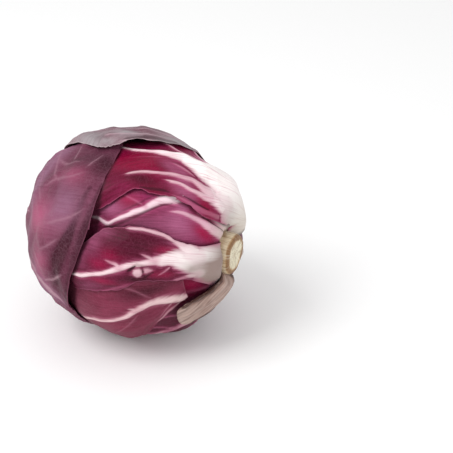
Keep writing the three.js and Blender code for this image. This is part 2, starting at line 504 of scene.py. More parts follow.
@dataclass(frozen=True)
class LeafFinish:
    """A leaf's colours and sheen. Its mesh says where the veins, patches and margin are."""

    name: str
    dark: str
    light: str
    glow: str
    dusk: str
    bloom_and_sheen: str
    blush: str
    rib: str
    # The colour of the painted highlight along the margin.
    rim: str
    streaks: float = 0.5
    net: float = 0.2
    # How strong the painted highlight along the margin is.
    rim_highlight: float = 0.4
    # How much mottled bloom and painted sheen lies all over.
    haze: float = 0.0
    roughness: float = 0.42
    coat: float = 0.02
    foot: str = "b3aa98"
    # The colour of the painted shade in folds, hollows and beside the margins above.
    crease: str = "2a0a14"
    bump_depth: float = 0.35  # in millimetres
    long_streaks: Place = (4.5, 85.0)  # how many to a unit along and round the streak map
    fine_streaks: Place = (12.0, 210.0)
    net_size: float = 34.0

    def material(self) -> bpy.types.Material:
        """Builds a material that reads the mesh's rib, tone and rim, and its streak map."""
        shader = Shader(self.name)
        edge, white, half = shader.attribute("rib")
        glow, dusk, bloom_and_sheen = shader.attribute("tone")
        # The rim's second number is the painted shade.
        rim, crease, foot = shader.attribute("rim")
        place = shader.object_place()
        out, around, _ = shader.split(shader.node("UVMap", {}, uv_map=STREAK_MAP))
        (long_out, long_around), (fine_out, fine_around) = self.long_streaks, self.fine_streaks
        streak = shader.noise(shader.vector(out * long_out, around * long_around), 1.0, 3.0, 0.3)
        fine = shader.noise(shader.vector(out * fine_out, around * fine_around), 1.0, 2.0, 0.2)
        mottle = shader.noise(place, 45.0, 5.0, 0.6)
        cloud = shader.noise(place, 17.0, 3.0, 0.8)
        speck = shader.noise(place, 420.0, 3.0)
        crooked = (out * self.net_size + mottle * 2.0, around * self.net_size + cloud * 2.0)
        net = shader.cells(shader.vector(*crooked), 1.0)
        small_net = shader.cells(place, 520.0)

        grain = (streak * self.streaks + mottle * (1 - self.streaks)) * 0.75 + cloud * 0.25
        # Waxy bloom and painted sheen, less on vivid patches.
        haze = (bloom_and_sheen + self.haze * mottle.rising(0.35, 0.7)).at_most(1.0)
        wax_and_sheen = haze * (1 - glow.at_most(1.0) * 0.6)
        fine_veins = net.rising(0.05, 0.0) * 0.6 + small_net.rising(0.1, 0.0) * 0.4
        half = half.at_least(0.0)
        feather = (streak - 0.5) * half.at_most(4.0) * 0.9 + (fine - 0.5) * 0.9
        spread = half * 0.36 + 0.5
        halo = ((edge + feather * 2.5) / spread).rising(-2.6, 0.4) * (0.15 + white * 0.6)
        blade = shader.layers(
            shader.mix(grain.rising(0.36, 0.64), tint(self.dark), tint(self.light)),
            ((glow * (0.6 + streak * 0.8)).at_most(1.0), self.glow),
            ((dusk * (0.6 + mottle * 0.8)).at_most(1.0), self.dusk),
            (wax_and_sheen * (0.6 + 0.4 * streak.rising(0.3, 0.7)), self.bloom_and_sheen),
            (fine_veins * self.net, self.blush),
            ((streak * 0.6 + fine * 0.4).rising(0.5, 0.66) * self.streaks * 0.55, self.dusk),
            (halo * (1 - (glow * 0.75).at_most(0.75)), self.blush),
        )
        bone = shader.layers(
            shader.mix(white, tint(self.blush), tint(self.rib)),
            (fine.rising(0.5, 0.8) * 0.2, self.blush),
            (streak.rising(0.52, 0.7) * 0.35, self.blush),
            # Grey-brown towards the foot, and where dusk patches lie on white ribs, painted shade.
            ((foot * (0.4 + streak * 0.4) + dusk * white * 0.8).at_most(1.0), self.foot),
        )
        pale = ((edge + feather) / spread).rising(-0.8, 0.7)
        colour = shader.layers(
            shader.mix(pale * (0.3 + white * 1.4).at_most(1.0), blade, bone),
            # A painted highlight along the margin.
            (rim.rising(0.8, 0.1) * self.rim_highlight, self.rim),
            (speck.rising(0.6, 0.8) * 0.1, self.dusk),
            # Painted shade, near black.
            (crease * 0.92, self.crease),
        )
        height = fine * 0.3 + speck * 0.1 + fine_veins * (1 - pale) * 0.3 + mottle * 0.8 + cloud
        rough = (self.roughness + (mottle - 0.5) * 0.2 + wax_and_sheen * 0.12 - pale * 0.04).at_most(1.0)
        normal = shader.bump(height, self.bump_depth * MM)
        fixed = {"Coat Weight": self.coat, "Coat Roughness": 0.3, "Specular IOR Level": 0.1}
        linked = {"Base Color": colour, "Roughness": rough, "Normal": normal}
        return shader.surface(linked, fixed)


@dataclass(frozen=True)
class CutFinish:
    """Pale flesh with fibres, browned where it has dried: the cut stem and trimmed ribs."""

    name: str
    flesh: str
    dry: str
    stain: str
    pale: str
    roughness: float = 0.6
    bump_depth: float = 0.5  # in millimetres

    def material(self) -> bpy.types.Material:
        """Builds a material that reads the mesh's dry attribute, 1 where it has browned."""
        shader = Shader(self.name)
        dry, fibre, length = shader.attribute("dry")
        place = shader.object_place()
        mottle = shader.noise(place, 160.0, 4.0, 0.6)
        blotch = shader.noise(place, 60.0, 3.0, 0.8)
        grain = shader.noise(shader.vector(fibre * 9.0, length * 5.0, blotch), 1.0, 3.0, 0.4)
        stained = dry + (mottle - 0.5) * 1.6 + (blotch - 0.5) * 1.2
        colour = shader.layers(
            shader.mix(
                (dry + (blotch - 0.5) * 1.2).rising(0.2, 0.8), tint(self.flesh), tint(self.dry)
            ),
            (stained.rising(0.5, 1.0) * 0.85, self.stain),
            (grain.rising(0.48, 0.68) * 0.5, self.stain),
            (grain.rising(0.45, 0.28) * 0.5, self.pale),
        )
        linked = {
            "Base Color": colour,
            "Roughness": self.roughness + (mottle - 0.5) * 0.2,
            "Normal": shader.bump(grain + mottle * 0.6, self.bump_depth * MM),
        }
        return shader.surface(linked, {"Coat Weight": 0.05, "Coat Roughness": 0.5, "IOR": 1.4})


@dataclass(frozen=True)
class FloorFinish:
    """A plain pale matt floor."""

    name: str = "pale_floor"
    pale: str = "fbfbfb"
    shade: str = "f6f6f6"

    def material(self) -> bpy.types.Material:
        """Builds the material."""
        shader = Shader(self.name)
        soft = shader.noise(shader.object_place(), 0.7, 2.0)
        colour = shader.mix(soft, tint(self.pale), tint(self.shade))
        return shader.surface({"Base Color": colour}, {"Roughness": 0.9, "Specular IOR Level": 0.1})


# The top wrapper's grey is partly its dull bloom and partly painted sheen from the light above.
WRAPPER_GREY = LeafFinish(
    "wrapper_grey", dark="6a4854", light="94787f", glow="6e3c4c", dusk="3a2229", bloom_and_sheen="a8a2a5",
    blush="b898a4", rib="dccfcb", rim="c4b0b5", rim_highlight=0.7, streaks=0.42, net=0.3, haze=0.3,
    roughness=0.5,
)
WRAPPER_PURPLE = LeafFinish(
    "wrapper_purple", dark="582539", light="80465d", glow="a5506f", dusk="380d1d", bloom_and_sheen="8a5d76",
    blush="9a6c7e", rib="cbb2b6", rim="7c4258", streaks=0.3, net=0.24, haze=0.06, roughness=0.46,
)
LEAF_MAGENTA = LeafFinish(
    "leaf_magenta", dark="5a0826", light="841d48", glow="820030", dusk="40061a", bloom_and_sheen="a35678",
    blush="bd5a82", rib="fbf3f1", rim="b05c7c", streaks=0.75, net=0.1, roughness=0.4,
)
LEAF_MIDDLE = LeafFinish(
    "leaf_middle", dark="661434", light="942e5c", glow="960038", dusk="440a20", bloom_and_sheen="ab6084",
    blush="c0648a", rib="fbeff2", rim="ad6484", streaks=0.6, net=0.12,
)
# Its darker foot colour paints the shade on the foot of its rib, low by the stem.
LEAF_FRONT = LeafFinish(
    "leaf_front", dark="4a0620", light="6a1a3a", glow="8a0c3a", dusk="3a0417", bloom_and_sheen="8a4462",
    blush="b65c7e", rib="f4ecea", rim="a05a74", streaks=0.6, net=0.13, foot="93807a",
)
LEAF_LOWER = LeafFinish(
    "leaf_lower", dark="5c182d", light="80324a", glow="8c2144", dusk="380917", bloom_and_sheen="8e4a5e",
    blush="a8657a", rib="ead2d0", rim="8e5464", streaks=0.55, net=0.14, roughness=0.46,
)
LEAF_CRIMSON = LeafFinish(
    "leaf_crimson", dark="8c0a2c", light="a81c40", glow="b8103c", dusk="6a0a20", bloom_and_sheen="d0708c",
    blush="d88aa0", rib="f8f2e8", rim="c86880", streaks=0.6, roughness=0.4,
)
STEM_CUT = CutFinish("cut_stem", flesh="dfd6bc", dry="b8966c", stain="7a5535", pale="f0ead6")
RIB_CUT = CutFinish(
    "cut_rib", flesh="ab9288", dry="85655a", stain="40261f", pale="c4aaa0", roughness=0.55
)


@dataclass(frozen=True)
class Leaf:
    """One leaf. stations are (along, left, rib, right): where its margins and rib lie."""

    node: str
    slot: str
    finish: LeafFinish | CutFinish
    turn: float
    rounds: float
    end: float
    stations: tuple[tuple[float, float, float, float], ...]
    rows: int = 90
    columns: int = 70
    knots: tuple[Place, ...] = ()  # (share of the rows, along) where rows are closer or wider
    veins: tuple[Vein, ...] = ()
    areas: tuple[Area, ...] = ()
    patches: tuple[Patch | Stain, ...] = ()
    folds: tuple[Fold, ...] = ()
    lifts: tuple[Lift, ...] = ()
    hug: float = 1.9  # how far the margin bends in towards the leaf below
    fan: Place = (0.0, 0.0)  # where the streaks spread from
    spread: float = 60.0
    thickness: float = 0.8
    ripple: float = 0.3
    dome: float = 0.0  # how far the middle arches up between the margins
    nicks: float = 0.5  # how uneven the margins are
    nicked: Place = (20.0, 45.0)  # where that starts and is full, along the leaf
    waves: tuple[Place, ...] = ((31, 0.9), (17, 0.6), (7.3, 0.35), (3.9, 0.2))  # length and size
    shadow: tuple[float, float] = (1.8, 0.5)  # how wide and dark the painted shadow is that the margin casts on the leaves below
    share: float = 1.0  # below 1 for the leaves of the inside
    seed: int = 1
    tip_share: float = 0.14
    tip_power: tuple[float, float] = (2.4, 2.4)  # how square the tip's left and right are
    margin_points: int = 90  # along each side of the outline

    @property
    def start(self) -> float:
        """The distance from the stem's pole at which the leaf begins."""
        return self.stations[0][0]

    def direction(self, places: Places, radius: float) -> Directions:
        """The directions of places that are measured on a ball of this radius."""
        s, t = (places / radius).T[:, :, None]
        pole = np.array([1.0, 0.0, 0.0])
        level = np.cos(s) * pole + np.sin(s) * sideways(self.turn)
        return np.cos(t) * level + np.sin(t) * sideways(self.turn + 90)

    def places(self, direction: Directions, radius: float) -> Places:
        """Where directions fall on the leaf: the inverse of direction."""
        s = np.arctan2(direction @ sideways(self.turn), direction[:, 0])
        t = np.arcsin(np.clip(direction @ sideways(self.turn + 90), -1, 1))
        return np.stack([np.where(s < 0, s + FULL_TURN, s), t], 1) * radius

    def widths(self, along: Array) -> Array:
        """Where the left margin, the rib and the right margin are.

        Args:
            along: Distances along the leaf.

        Returns:
            A row of (left, rib, right) for each distance.
        """
        table = np.array(self.stations)
        knots, values = table[:, 0], table[:, 1:]
        along = np.clip(along, self.start, self.end)
        slopes = np.gradient(values, knots, axis=0)
        i = np.clip(np.searchsorted(knots, along, side="right") - 1, 0, len(knots) - 2)
        span = (knots[i + 1] - knots[i])[:, None]
        t = (along - knots[i])[:, None] / span
        lines = (
            (2 * t**3 - 3 * t**2 + 1) * values[i]
            + (t**3 - 2 * t**2 + t) * span * slopes[i]
            # from any margin, so that no painted highlight lies along one
            + (3 * t**2 - 2 * t**3) * values[i + 1]
            + (t**3 - t**2) * span * slopes[i + 1]
        )
        closing = np.clip((along - self.rounds) / (self.end - self.rounds), 0, 1)
        power = np.array([self.tip_power[0], sum(self.tip_power) / 2, self.tip_power[1]])
        part = np.maximum((1 - closing[:, None] ** power) ** (1 / power), self.tip_share)
        middle = (lines[:, 0] + lines[:, 2])[:, None] / 2
        lines = middle + (lines - middle) * part
        fade = self.nicks * smooth(along, *self.nicked)
        for wave, amount in self.waves:
            phase = self.seed + wave
            lines[:, 0] += fade * amount * np.sin(along * FULL_TURN / wave + phase)
            lines[:, 2] += fade * amount * np.sin(along * FULL_TURN / wave * 1.1 + 2.3 * phase)
        return lines

    def along_at(self, part: Array) -> Array:
        """The distance along the leaf at each share of its rows, closer at the tip."""
        knots = self.knots or ((0.0, self.start), (0.75, self.rounds))
        shares, stops = zip(*knots)
        straight = np.interp(part, shares, stops)
        turn = np.clip((part - shares[-1]) / (1 - shares[-1]), 0, 1)
        return straight + (self.end - stops[-1]) * np.sin(turn * np.pi / 2)

    def margin(self) -> Places:
        """The leaf's outline, round the leaf and back to its start."""
        along = self.along_at(np.linspace(0, 1, self.margin_points))
        left, _, right = self.widths(along).T
        there, back = np.stack([along, left], 1), np.stack([along, right], 1)[::-1]
        return np.vstack([there, back, there[:1]])


@dataclass(frozen=True)
class LeafStack:
    """The leaves from the outside in, each pressed down by those that lie over it."""

    form: HeadForm
    leaves: tuple[Leaf, ...]
    pitch: float = 3.15  # from one leaf to the next
    clear: float = 1.5  # distance past a margin at which the leaf below starts to rise
    settle: float = 26.0  # distance over which it rises
    crowding: float = 0.4  # share of the pitch that is left where the leaves meet the stem
    crowded: tuple[float, float] = (12.0, 42.0)  # where that starts and ends, along a leaf
    tuck: float = 7.0  # how far the feet dive in to meet the stem
    tucked: tuple[float, float] = (17.0, 8.0)
    chunk: int = 60  # points of a margin that are compared at once

    def beyond(self, leaf: Leaf, direction: Directions) -> Array:
        """How far directions are from a leaf's margin.

        Args:
            leaf: The leaf.
            direction: The directions.

        Returns:
            The distance outside its margin for each direction, 0 under the leaf.
        """
        places = leaf.places(direction, self.form.radius)
        left, _, right = leaf.widths(places[:, 0]).T
        inside = (places[:, 0] >= leaf.start) & (places[:, 0] <= leaf.end)
        inside &= (places[:, 1] >= left) & (places[:, 1] <= right)
        edge = leaf.direction(fine_line(leaf.margin(), 1.0), self.form.radius)
        nearest = np.full(len(direction), -1.0)
        for chunk in np.array_split(edge, max(1, len(edge) // self.chunk)):
            nearest = np.maximum(nearest, (direction @ chunk.T).max(1))
        away = np.sqrt(np.maximum(2 - 2 * nearest, 0)) * self.form.radius
        return np.where(inside, 0.0, away)

    def above(self, leaf: Leaf) -> tuple[Leaf, ...]:
        """The leaves that lie over a leaf."""
        return self.leaves if leaf.share < 1 else self.leaves[: self.leaves.index(leaf)]

    def crease(self, leaf: Leaf, direction: Directions) -> Array:
        """How dark the painted shadows are that the margins of the leaves above cast on a leaf."""
        dark = np.zeros(len(direction))
        for other in self.above(leaf):
            width, strength = other.shadow
            away = self.beyond(other, direction)
            dark = np.maximum(dark, strength * smooth(away, width, 0.0))
        return dark

    def reach(self, leaf: Leaf, direction: Directions) -> Array:
        """The distance of a leaf's outer face from the head's centre.

        Args:
            leaf: The leaf.
            direction: The directions.

        Returns:
            One distance in millimetres for each of them.
        """
        depth = np.zeros(len(direction))
        for other in self.above(leaf):
            away = self.beyond(other, direction)
            depth += 1 - smooth(away, self.clear, self.clear + self.settle)
        along = np.arccos(np.clip(direction[:, 0], -1, 1)) * self.form.radius
        depth = depth * (self.crowding + (1 - self.crowding) * smooth(along, *self.crowded))
        foot = self.tuck * smooth(along, *self.tucked)
        return leaf.share * (self.form.outside(direction) - self.pitch * depth) - foot


def deselect() -> None:
    """Leaves nothing selected, so that an operator acts only on what is made next."""
    bpy.ops.object.select_all(action="DESELECT")


def apply_all(piece: bpy.types.Object) -> None:
    """Makes every modifier of a piece part of its mesh."""
    deselect()
    piece.select_set(True)
    bpy.context.view_layer.objects.active = piece
    for modifier in list(piece.modifiers):
        bpy.ops.object.modifier_apply(modifier=modifier.name)


def write_points(mesh: bpy.types.Mesh, points: Array) -> None:
    """Moves every vertex of a mesh to its row of points, in metres."""
    mesh.vertices.foreach_set("co", points.astype(np.float32).ravel())
    mesh.update()


def read_points(mesh: bpy.types.Mesh) -> Array:
    """The points of a mesh, one in each row."""
    points = np.empty(len(mesh.vertices) * 3, np.float32)
    mesh.vertices.foreach_get("co", points)
    return points.reshape(-1, 3).astype(float)


def write_attribute(mesh: bpy.types.Mesh, name: str, *values: Array | float) -> None:
    """Gives each vertex three numbers under a name.

    Args:
        mesh: The mesh.
        name: What materials call them.
        values: Three numbers, each the same all over or one for each vertex.
    """
    rows = np.stack(np.broadcast_arrays(*values, np.zeros(len(mesh.vertices)))[:3], 1)
    made = mesh.attributes.new(name, "FLOAT_VECTOR", "POINT")
    made.data.foreach_set("vector", rows.astype(np.float32).ravel())


def dress(piece: bpy.types.Object, material: bpy.types.Material, node: str) -> None:
    """Gives a finished piece its material and its place in the head.

    Args:
        piece: The object.
        material: What it is made of.
        node: The solid that it stands for.
    """
    piece.data.materials.clear()
    piece.data.materials.append(material)
    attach(piece, BODY)
    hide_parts(node)
    LOG.info("%s: %d faces", piece.name, len(piece.data.polygons))


@dataclass
class Blade:
    """The mesh of one leaf, from a flat grid between its margins to a closed shell."""

    leaf: Leaf
    stack: LeafStack
    bend_width: float = 8.0  # how far from the margin the blade starts to bend in
    dome_width: float = 9.0  # how far from it the blade is fully arched
    rim_width: float = 2.5  # how far from it the blade is fully thick
    rim_thickness: float = 0.3  # share of the full thickness that the margin has
    full_thickness: float = 2.8  # of a rib at its base
    thickness_steps: int = 40
    skirt: float = 0.9  # how far past a vein's edge its slope runs
    swells: tuple[Place, ...] = ((46, 1), (31, 0.8), (21, 0.55), (14, 0.35), (9, 0.2))
    furrows: tuple[Place, ...] = ((38, 1.3), (27, 1.3))  # length and depth, as of the swells
    no_vein: float = -30.0  # how far inside a vein's edge a place is that is near none
    foot: Place = (34.0, 12.0)  # where the ribs start to turn grey-brown towards the foot, and where they are fully so
    dried_rim: float = 3.5  # how far from the margin a trimmed rib has dried
    smooth_angle: float = 60.0

    def __post_init__(self) -> None:
        """Lays the grid, and finds where each of its points is on the leaf."""
        deselect()
        bpy.ops.mesh.primitive_grid_add(
            x_subdivisions=self.leaf.rows, y_subdivisions=self.leaf.columns, size=2
        )
        self.piece = bpy.context.object
        self.piece.name = self.leaf.node + "_blade"
        self.mesh = self.piece.data
        self.mesh.name = self.piece.name
        flat = read_points(self.mesh)
        along, side = self.leaf.along_at((flat[:, 0] + 1) / 2), flat[:, 1]
        left, rib, right = self.leaf.widths(along).T
        across = np.where(side < 0, rib + (rib - left) * side, rib + (right - rib) * side)
        self.places = np.stack([along, across], 1)
        self.rim, _ = near_line(self.places, self.leaf.margin())

    def flat(self, value: float = 0.0) -> Array:
        """The same value at every place."""
        return np.full(len(self.places), float(value))

    def wave(self, angle: float, phase: float, turns: float, warp: Point) -> Array:
        """The sine of a warped wave that crosses the blade.

        Args:
            angle: Which way it runs.
            phase: Where it starts.
            turns: Radians of it to a millimetre.
            warp: How far it is warped, how often, and how far that is shifted.

        Returns:
            A number from -1 to 1 for each place.
        """
        way = np.array([math.cos(angle), math.sin(angle)]) * turns
        bent = warp[0] * np.sin(self.places @ way[::-1] * warp[1] + phase * warp[2])
        return np.sin(self.places @ way + phase + bent)

    def ripples(self) -> Array:
        """Gentle unevenness of the blade, with a few long soft creases."""
        rng = np.random.default_rng(self.leaf.seed)
        height = self.flat()
        for length, tall in self.swells:
            angle, phase = rng.uniform(0, FULL_TURN, 2)
            height += tall * self.wave(angle, phase, FULL_TURN / length, (0.9, 0.7, 2))
        for length, deep in self.furrows:
            angle, phase = rng.uniform(0, np.pi, 2)
            crest = self.wave(angle, phase, np.pi / length, (0.8, 1.3, 1))
            height -= deep * np.abs(crest) ** 0.7
        return self.leaf.ripple * height

    def vein_marks(self) -> tuple[tuple[Array, Array, Array], Array]:
        """What the veins do at each place.

        Returns:
            The rib attribute (how far inside a vein's edge, how white, its half width), and
            the height that the veins add.
        """
        edge, half, height = self.flat(self.no_vein), self.flat(), self.flat()
        whiteness, weight = self.flat(), self.flat(NOTHING)
        for vein in self.leaf.veins:
            away, rides = near_line(self.places, vein.faded())
            own_half = rides[:, 0]
            own_edge = own_half - away
            nearer = own_edge > edge
            edge[nearer], half[nearer] = own_edge[nearer], own_half[nearer]
            part = np.clip(away / np.maximum(own_half + self.skirt, 0.2), 0, 1)
            tall = np.clip(0.35 + 0.5 * own_half, 0, vein.rise)
            height = np.maximum(height, tall * (1 - part**2) ** 2)
            pull = smooth(own_edge, -3.0, 0.5) + NOTHING
            whiteness += pull * vein.white * (0.62 + 0.38 * smooth(own_half, 0.8, 6.0))
            weight += pull
        for area in self.leaf.areas:
            own_edge = area.inside(self.places)
            edge = np.maximum(edge, own_edge)
            half = np.maximum(half, 1.2 * smooth(own_edge, -4.0, 1.0))
            height = np.maximum(height, area.rise * smooth(own_edge, -1.5, 3.0))
            pull = 2 * smooth(own_edge, -3.0, 1.0) + NOTHING
            whiteness += pull * area.white
            weight += pull
        return (edge, whiteness / weight, half), height

    def rim_bend(self) -> Array:
        """How far the blade bends near its margin, negative where it bends in."""
        bend = self.flat(-self.leaf.hug)
        for lift in self.leaf.lifts:
            away = ((self.places - np.array(lift.at)) ** 2).sum(1)
            bend += lift.height * np.exp(-away / lift.radius**2)
        return bend * smooth(self.rim, self.bend_width, 0.0)

    def heights(self, ribs: Array) -> Array:
        """Everything that the leaf adds to the form it lies on, with its ribs' height."""
        height = self.ripples() + ribs + self.rim_bend()
        height += self.leaf.dome * smooth(self.rim, 0.0, self.dome_width)
        for fold in self.leaf.folds:
            away, _ = near_line(self.places, fine_line(fold.line))
            height += fold.height * np.exp(-((away / fold.width) ** 2))
        return height

    def build(self) -> bpy.types.Object:
        """Models the leaf as a thin closed shell.

        Returns:
            The finished object.
        """
        leaf, form, (along, across) = self.leaf, self.stack.form, self.places.T
        marks, ribs = self.vein_marks()
        tones = np.zeros((len(Tone), len(along)))
        for patch in leaf.patches:
            tones[patch.tone.value] += patch.amount(self.places)
        direction = leaf.direction(self.places, form.radius)
        reach = self.stack.reach(leaf, direction) + self.heights(ribs)
        write_points(self.mesh, form.points(direction, reach))
        # Painted shadow beside the margins of the leaves above, added to the painted shade.
        tones[Tone.CREASE.value] += self.stack.crease(leaf, direction)
        glow, dusk, bloom_and_sheen, crease = np.clip(tones, 0, 1)
        tip = smooth(along, leaf.end - 8, leaf.end - 3)
        dry = smooth(self.rim, self.dried_rim, 0.0) * 0.8 + 0.3 - 0.8 * tip
        write_attribute(self.mesh, "rib", *marks)
        write_attribute(self.mesh, "tone", glow, dusk, bloom_and_sheen)
        # The rim attribute carries the painted shade as its second number.
        write_attribute(self.mesh, "rim", self.rim, crease, smooth(along, *self.foot))
        write_attribute(self.mesh, "dry", dry, across / GRAIN_WIDTH, along / GRAIN_LENGTH)
        self.streak_map()
        self.thicken(marks)
        bpy.ops.object.shade_smooth_by_angle(angle=math.radians(self.smooth_angle))
        return self.piece

    def streak_map(self) -> None:
        """Writes the map that the streaks follow: out from the leaf's foot, and round it."""
        x, y = (self.places - np.array(self.leaf.fan)).T
        values = np.stack([np.hypot(x, y), np.arctan2(y, x) * self.leaf.spread], 1) / STREAK_UNIT
        corners = np.empty(len(self.mesh.loops), np.int32)
        self.mesh.loops.foreach_get("vertex_index", corners)
        layers = self.mesh.uv_layers
        layer = layers[0] if layers else layers.new(name=STREAK_MAP)
        layer.name = STREAK_MAP
        layer.uv.foreach_set("vector", values[corners].astype(np.float32).ravel())

    def thicken(self, marks: tuple[Array, Array, Array]) -> None:
        """Gives the sheet its thickness, inwards: full at a rib, thin at the margin.

        Args:
            marks: The rib attribute.
        """
        edge, _, half = marks
        blade = self.leaf.thickness / self.full_thickness
        part = blade + (1 - blade) * smooth(edge, -1.0, 1.0) * np.clip(half / 5, 0, 1)
        part *= self.rim_thickness + (1 - self.rim_thickness) * smooth(
            self.rim, 0.0, self.rim_width
        )
        levels = np.round(np.clip(part, 0.1, 1) * self.thickness_steps).astype(int)
        group = self.piece.vertex_groups.new(name="thickness")
        for level in np.unique(levels):
            chosen = np.nonzero(levels == level)[0].tolist()
            group.add(chosen, level / self.thickness_steps, "REPLACE")
        modifier = self.piece.modifiers.new("thickness", "SOLIDIFY")
        modifier.thickness = self.full_thickness * MM
        modifier.offset = -1
        modifier.vertex_group = group.name
        apply_all(self.piece)
        self.piece.vertex_groups.clear()


def pinnate(
    rib: Sequence[VeinPoint],
    pairs: int,
    reach: float,
    white: float = 0.5,
    bone: float = 0.85,
    seed: int = 1,
) -> tuple[Vein, ...]:
    """A midrib with side veins that leave it in uneven pairs and bend forwards.

    Args:
        rib: The points of the midrib, from the foot to the tip.
        pairs: How many side veins each side has.
        reach: How far across the longest side vein runs.
        white: How white the side veins are.
        bone: How white the midrib is.
        seed: Settles how uneven they are.

    Returns:
        The midrib and its side veins.
    """
    rng = np.random.default_rng(seed)
    line = fine_line(rib, 2.0)
    veins = [Vein(tuple(map(tuple, rib)), rise=1.3, white=bone)]
    for side in (-1, 1):
        for k in range(pairs):
            at = int((k + 0.5 + rng.uniform(-0.25, 0.25)) / pairs * 0.8 * len(line))
            along, across, _ = line[at]
            length = reach * (1 - 0.35 * k / pairs) * rng.uniform(0.85, 1.1)
            lean = rng.uniform(0.75, 1.05)
            points = []
            for t in np.linspace(0, 1, 6):
                out = side * length * t * (1 - 0.15 * t)
                ahead = length * lean * t * (0.8 + 0.7 * t)
                wobble = 1.2 * math.sin(5 * t + k)
                points.append((along + ahead, across + out + wobble * t, 1.1 - 0.7 * t))
            veins.append(Vein(tuple(points), rise=0.45, white=white))
    return tuple(veins)


# The thick foot that is left of a leaf that was cut away.
TRIMMED_BASE = Leaf(
    node="trimmed_leaf_base", slot="cut_rib", finish=RIB_CUT, turn=125, rounds=42, end=47.5,
    stations=(
        (7, -1, 6, 12), (16, -1, 8, 17), (25, -2, 8, 18), (36, -5.5, 5, 15), (47.5, -5, 4, 12),
    ),
    rows=110, columns=50, knots=((0, 7), (0.8, 42)), hug=0.2, thickness=2.8, ripple=0.25, dome=0.9,
    nicks=0.5, shadow=(1.8, 0.3), seed=3,
    folds=(
        Fold(((10, 2), (26, 3), (46, 0)), 0.6, 1.1), Fold(((10, 11), (26, 12), (46, 8)), 0.7, 1.3),
        Fold(((12, 6), (28, 8), (44, 4)), -0.9, 1.6),
        Fold(((12, 0), (28, 0), (40, -3)), -0.4, 0.9),
    ),
)

# The grey outermost leaf, of which a strip shows over the top.
WRAPPER_TOP = Leaf(
    node="wrapper_leaf_top", slot="outer_leaf_grey", finish=WRAPPER_GREY, turn=300, rounds=120,
    end=160, tip_power=(2, 2.6),
    stations=(
        (4, -11, -7, -3), (10, -20, -15, -9.5), (24, -35, -28, -22), (40, -44, -31, -21),
        (50, -49, -27, -18), (56, -53, -19, -12), (60, -56, -9, 4), (63, -57, -4, 27),
        (64, -58, -2, 36), (70, -61, 1, 53), (83, -68, 4, 63), (109, -70, 6, 71.5),
        (160, -66, 5, 68),
    ),
    rows=225, columns=190, knots=((0, 4), (0.8, 120)),
    veins=(
        *pinnate((
            (4, -7, 4), (10, -15, 4.5), (24, -27, 4), (40, -29, 2.8), (60, -8, 2), (100, 5, 1.5),
            (124, 5, 1.1), (150, 6, 0.35),
        ), 7, 46, 0.3, seed=11),
        Vein(((64, 50, 0.4), (72, 58, 0.6), (84, 65, 0.6), (104, 69, 0.4)), 0.3, 0.3),
        Vein(((62, 38, 0.4), (76, 50, 0.6), (100, 60, 0.6), (126, 62, 0.4)), 0.3, 0.25),
        Vein(((66, 28, 0.4), (84, 42, 0.6), (108, 50, 0.6), (140, 48, 0.4)), 0.3, 0.2),
    ),
    patches=(
        *ovals(
            Tone.BLOOM, (102, 58, 13, 5, 1), (67, 43, 8, 14, 1), (118, 68, 9, 3, 0.6),
            (140, 62, 14, 14, 0.8),
        ),
        *ovals(Tone.GLOW, (100, 50, 26, 5, 0.7), (116, 62, 12, 3, 0.6)),
        Stain(Tone.DUSK, ((78, 50, 0.5), (90, 57, 1.6), (104, 60, 1.8), (118, 60, 0.6)), 0.5),
        Patch(Tone.DUSK, (135, 60), (12, 8), 0.6),
        Stain(Tone.DUSK, ((131, 69, 0.6), (128, 66, 1.2), (124, 62, 0.6)), 0.8),
        # Painted shade under the rolled margin.
        Stain(Tone.CREASE, (
            (99, 67, 1), (90, 64, 3.5), (80, 58, 5), (71, 50, 4.5), (66, 42, 2.5),
        ), 0.6),
    ),
    folds=(
        Fold(((96, 66), (80, 63), (68, 54)), 0.7, 3.5),
        Fold(((120, 40), (96, 36), (76, 24)), 0.8, 6),
        Fold(((130, 56), (118, 66), (112, 74)), -0.6, 3),
    ),
    lifts=(
        Lift((80, 60), 14, 0.2), Lift((54, -6), 16, -0.2), Lift((63, 26), 12, 0.6),
        Lift((132, 70), 14, -0.5), Lift((156, 48), 12, -1.1), Lift((144, 64), 8, -0.4),
    ),
    hug=0.9, fan=(-30, 0), spread=90, ripple=0.34, shadow=(1.4, 0.12), seed=12,
)

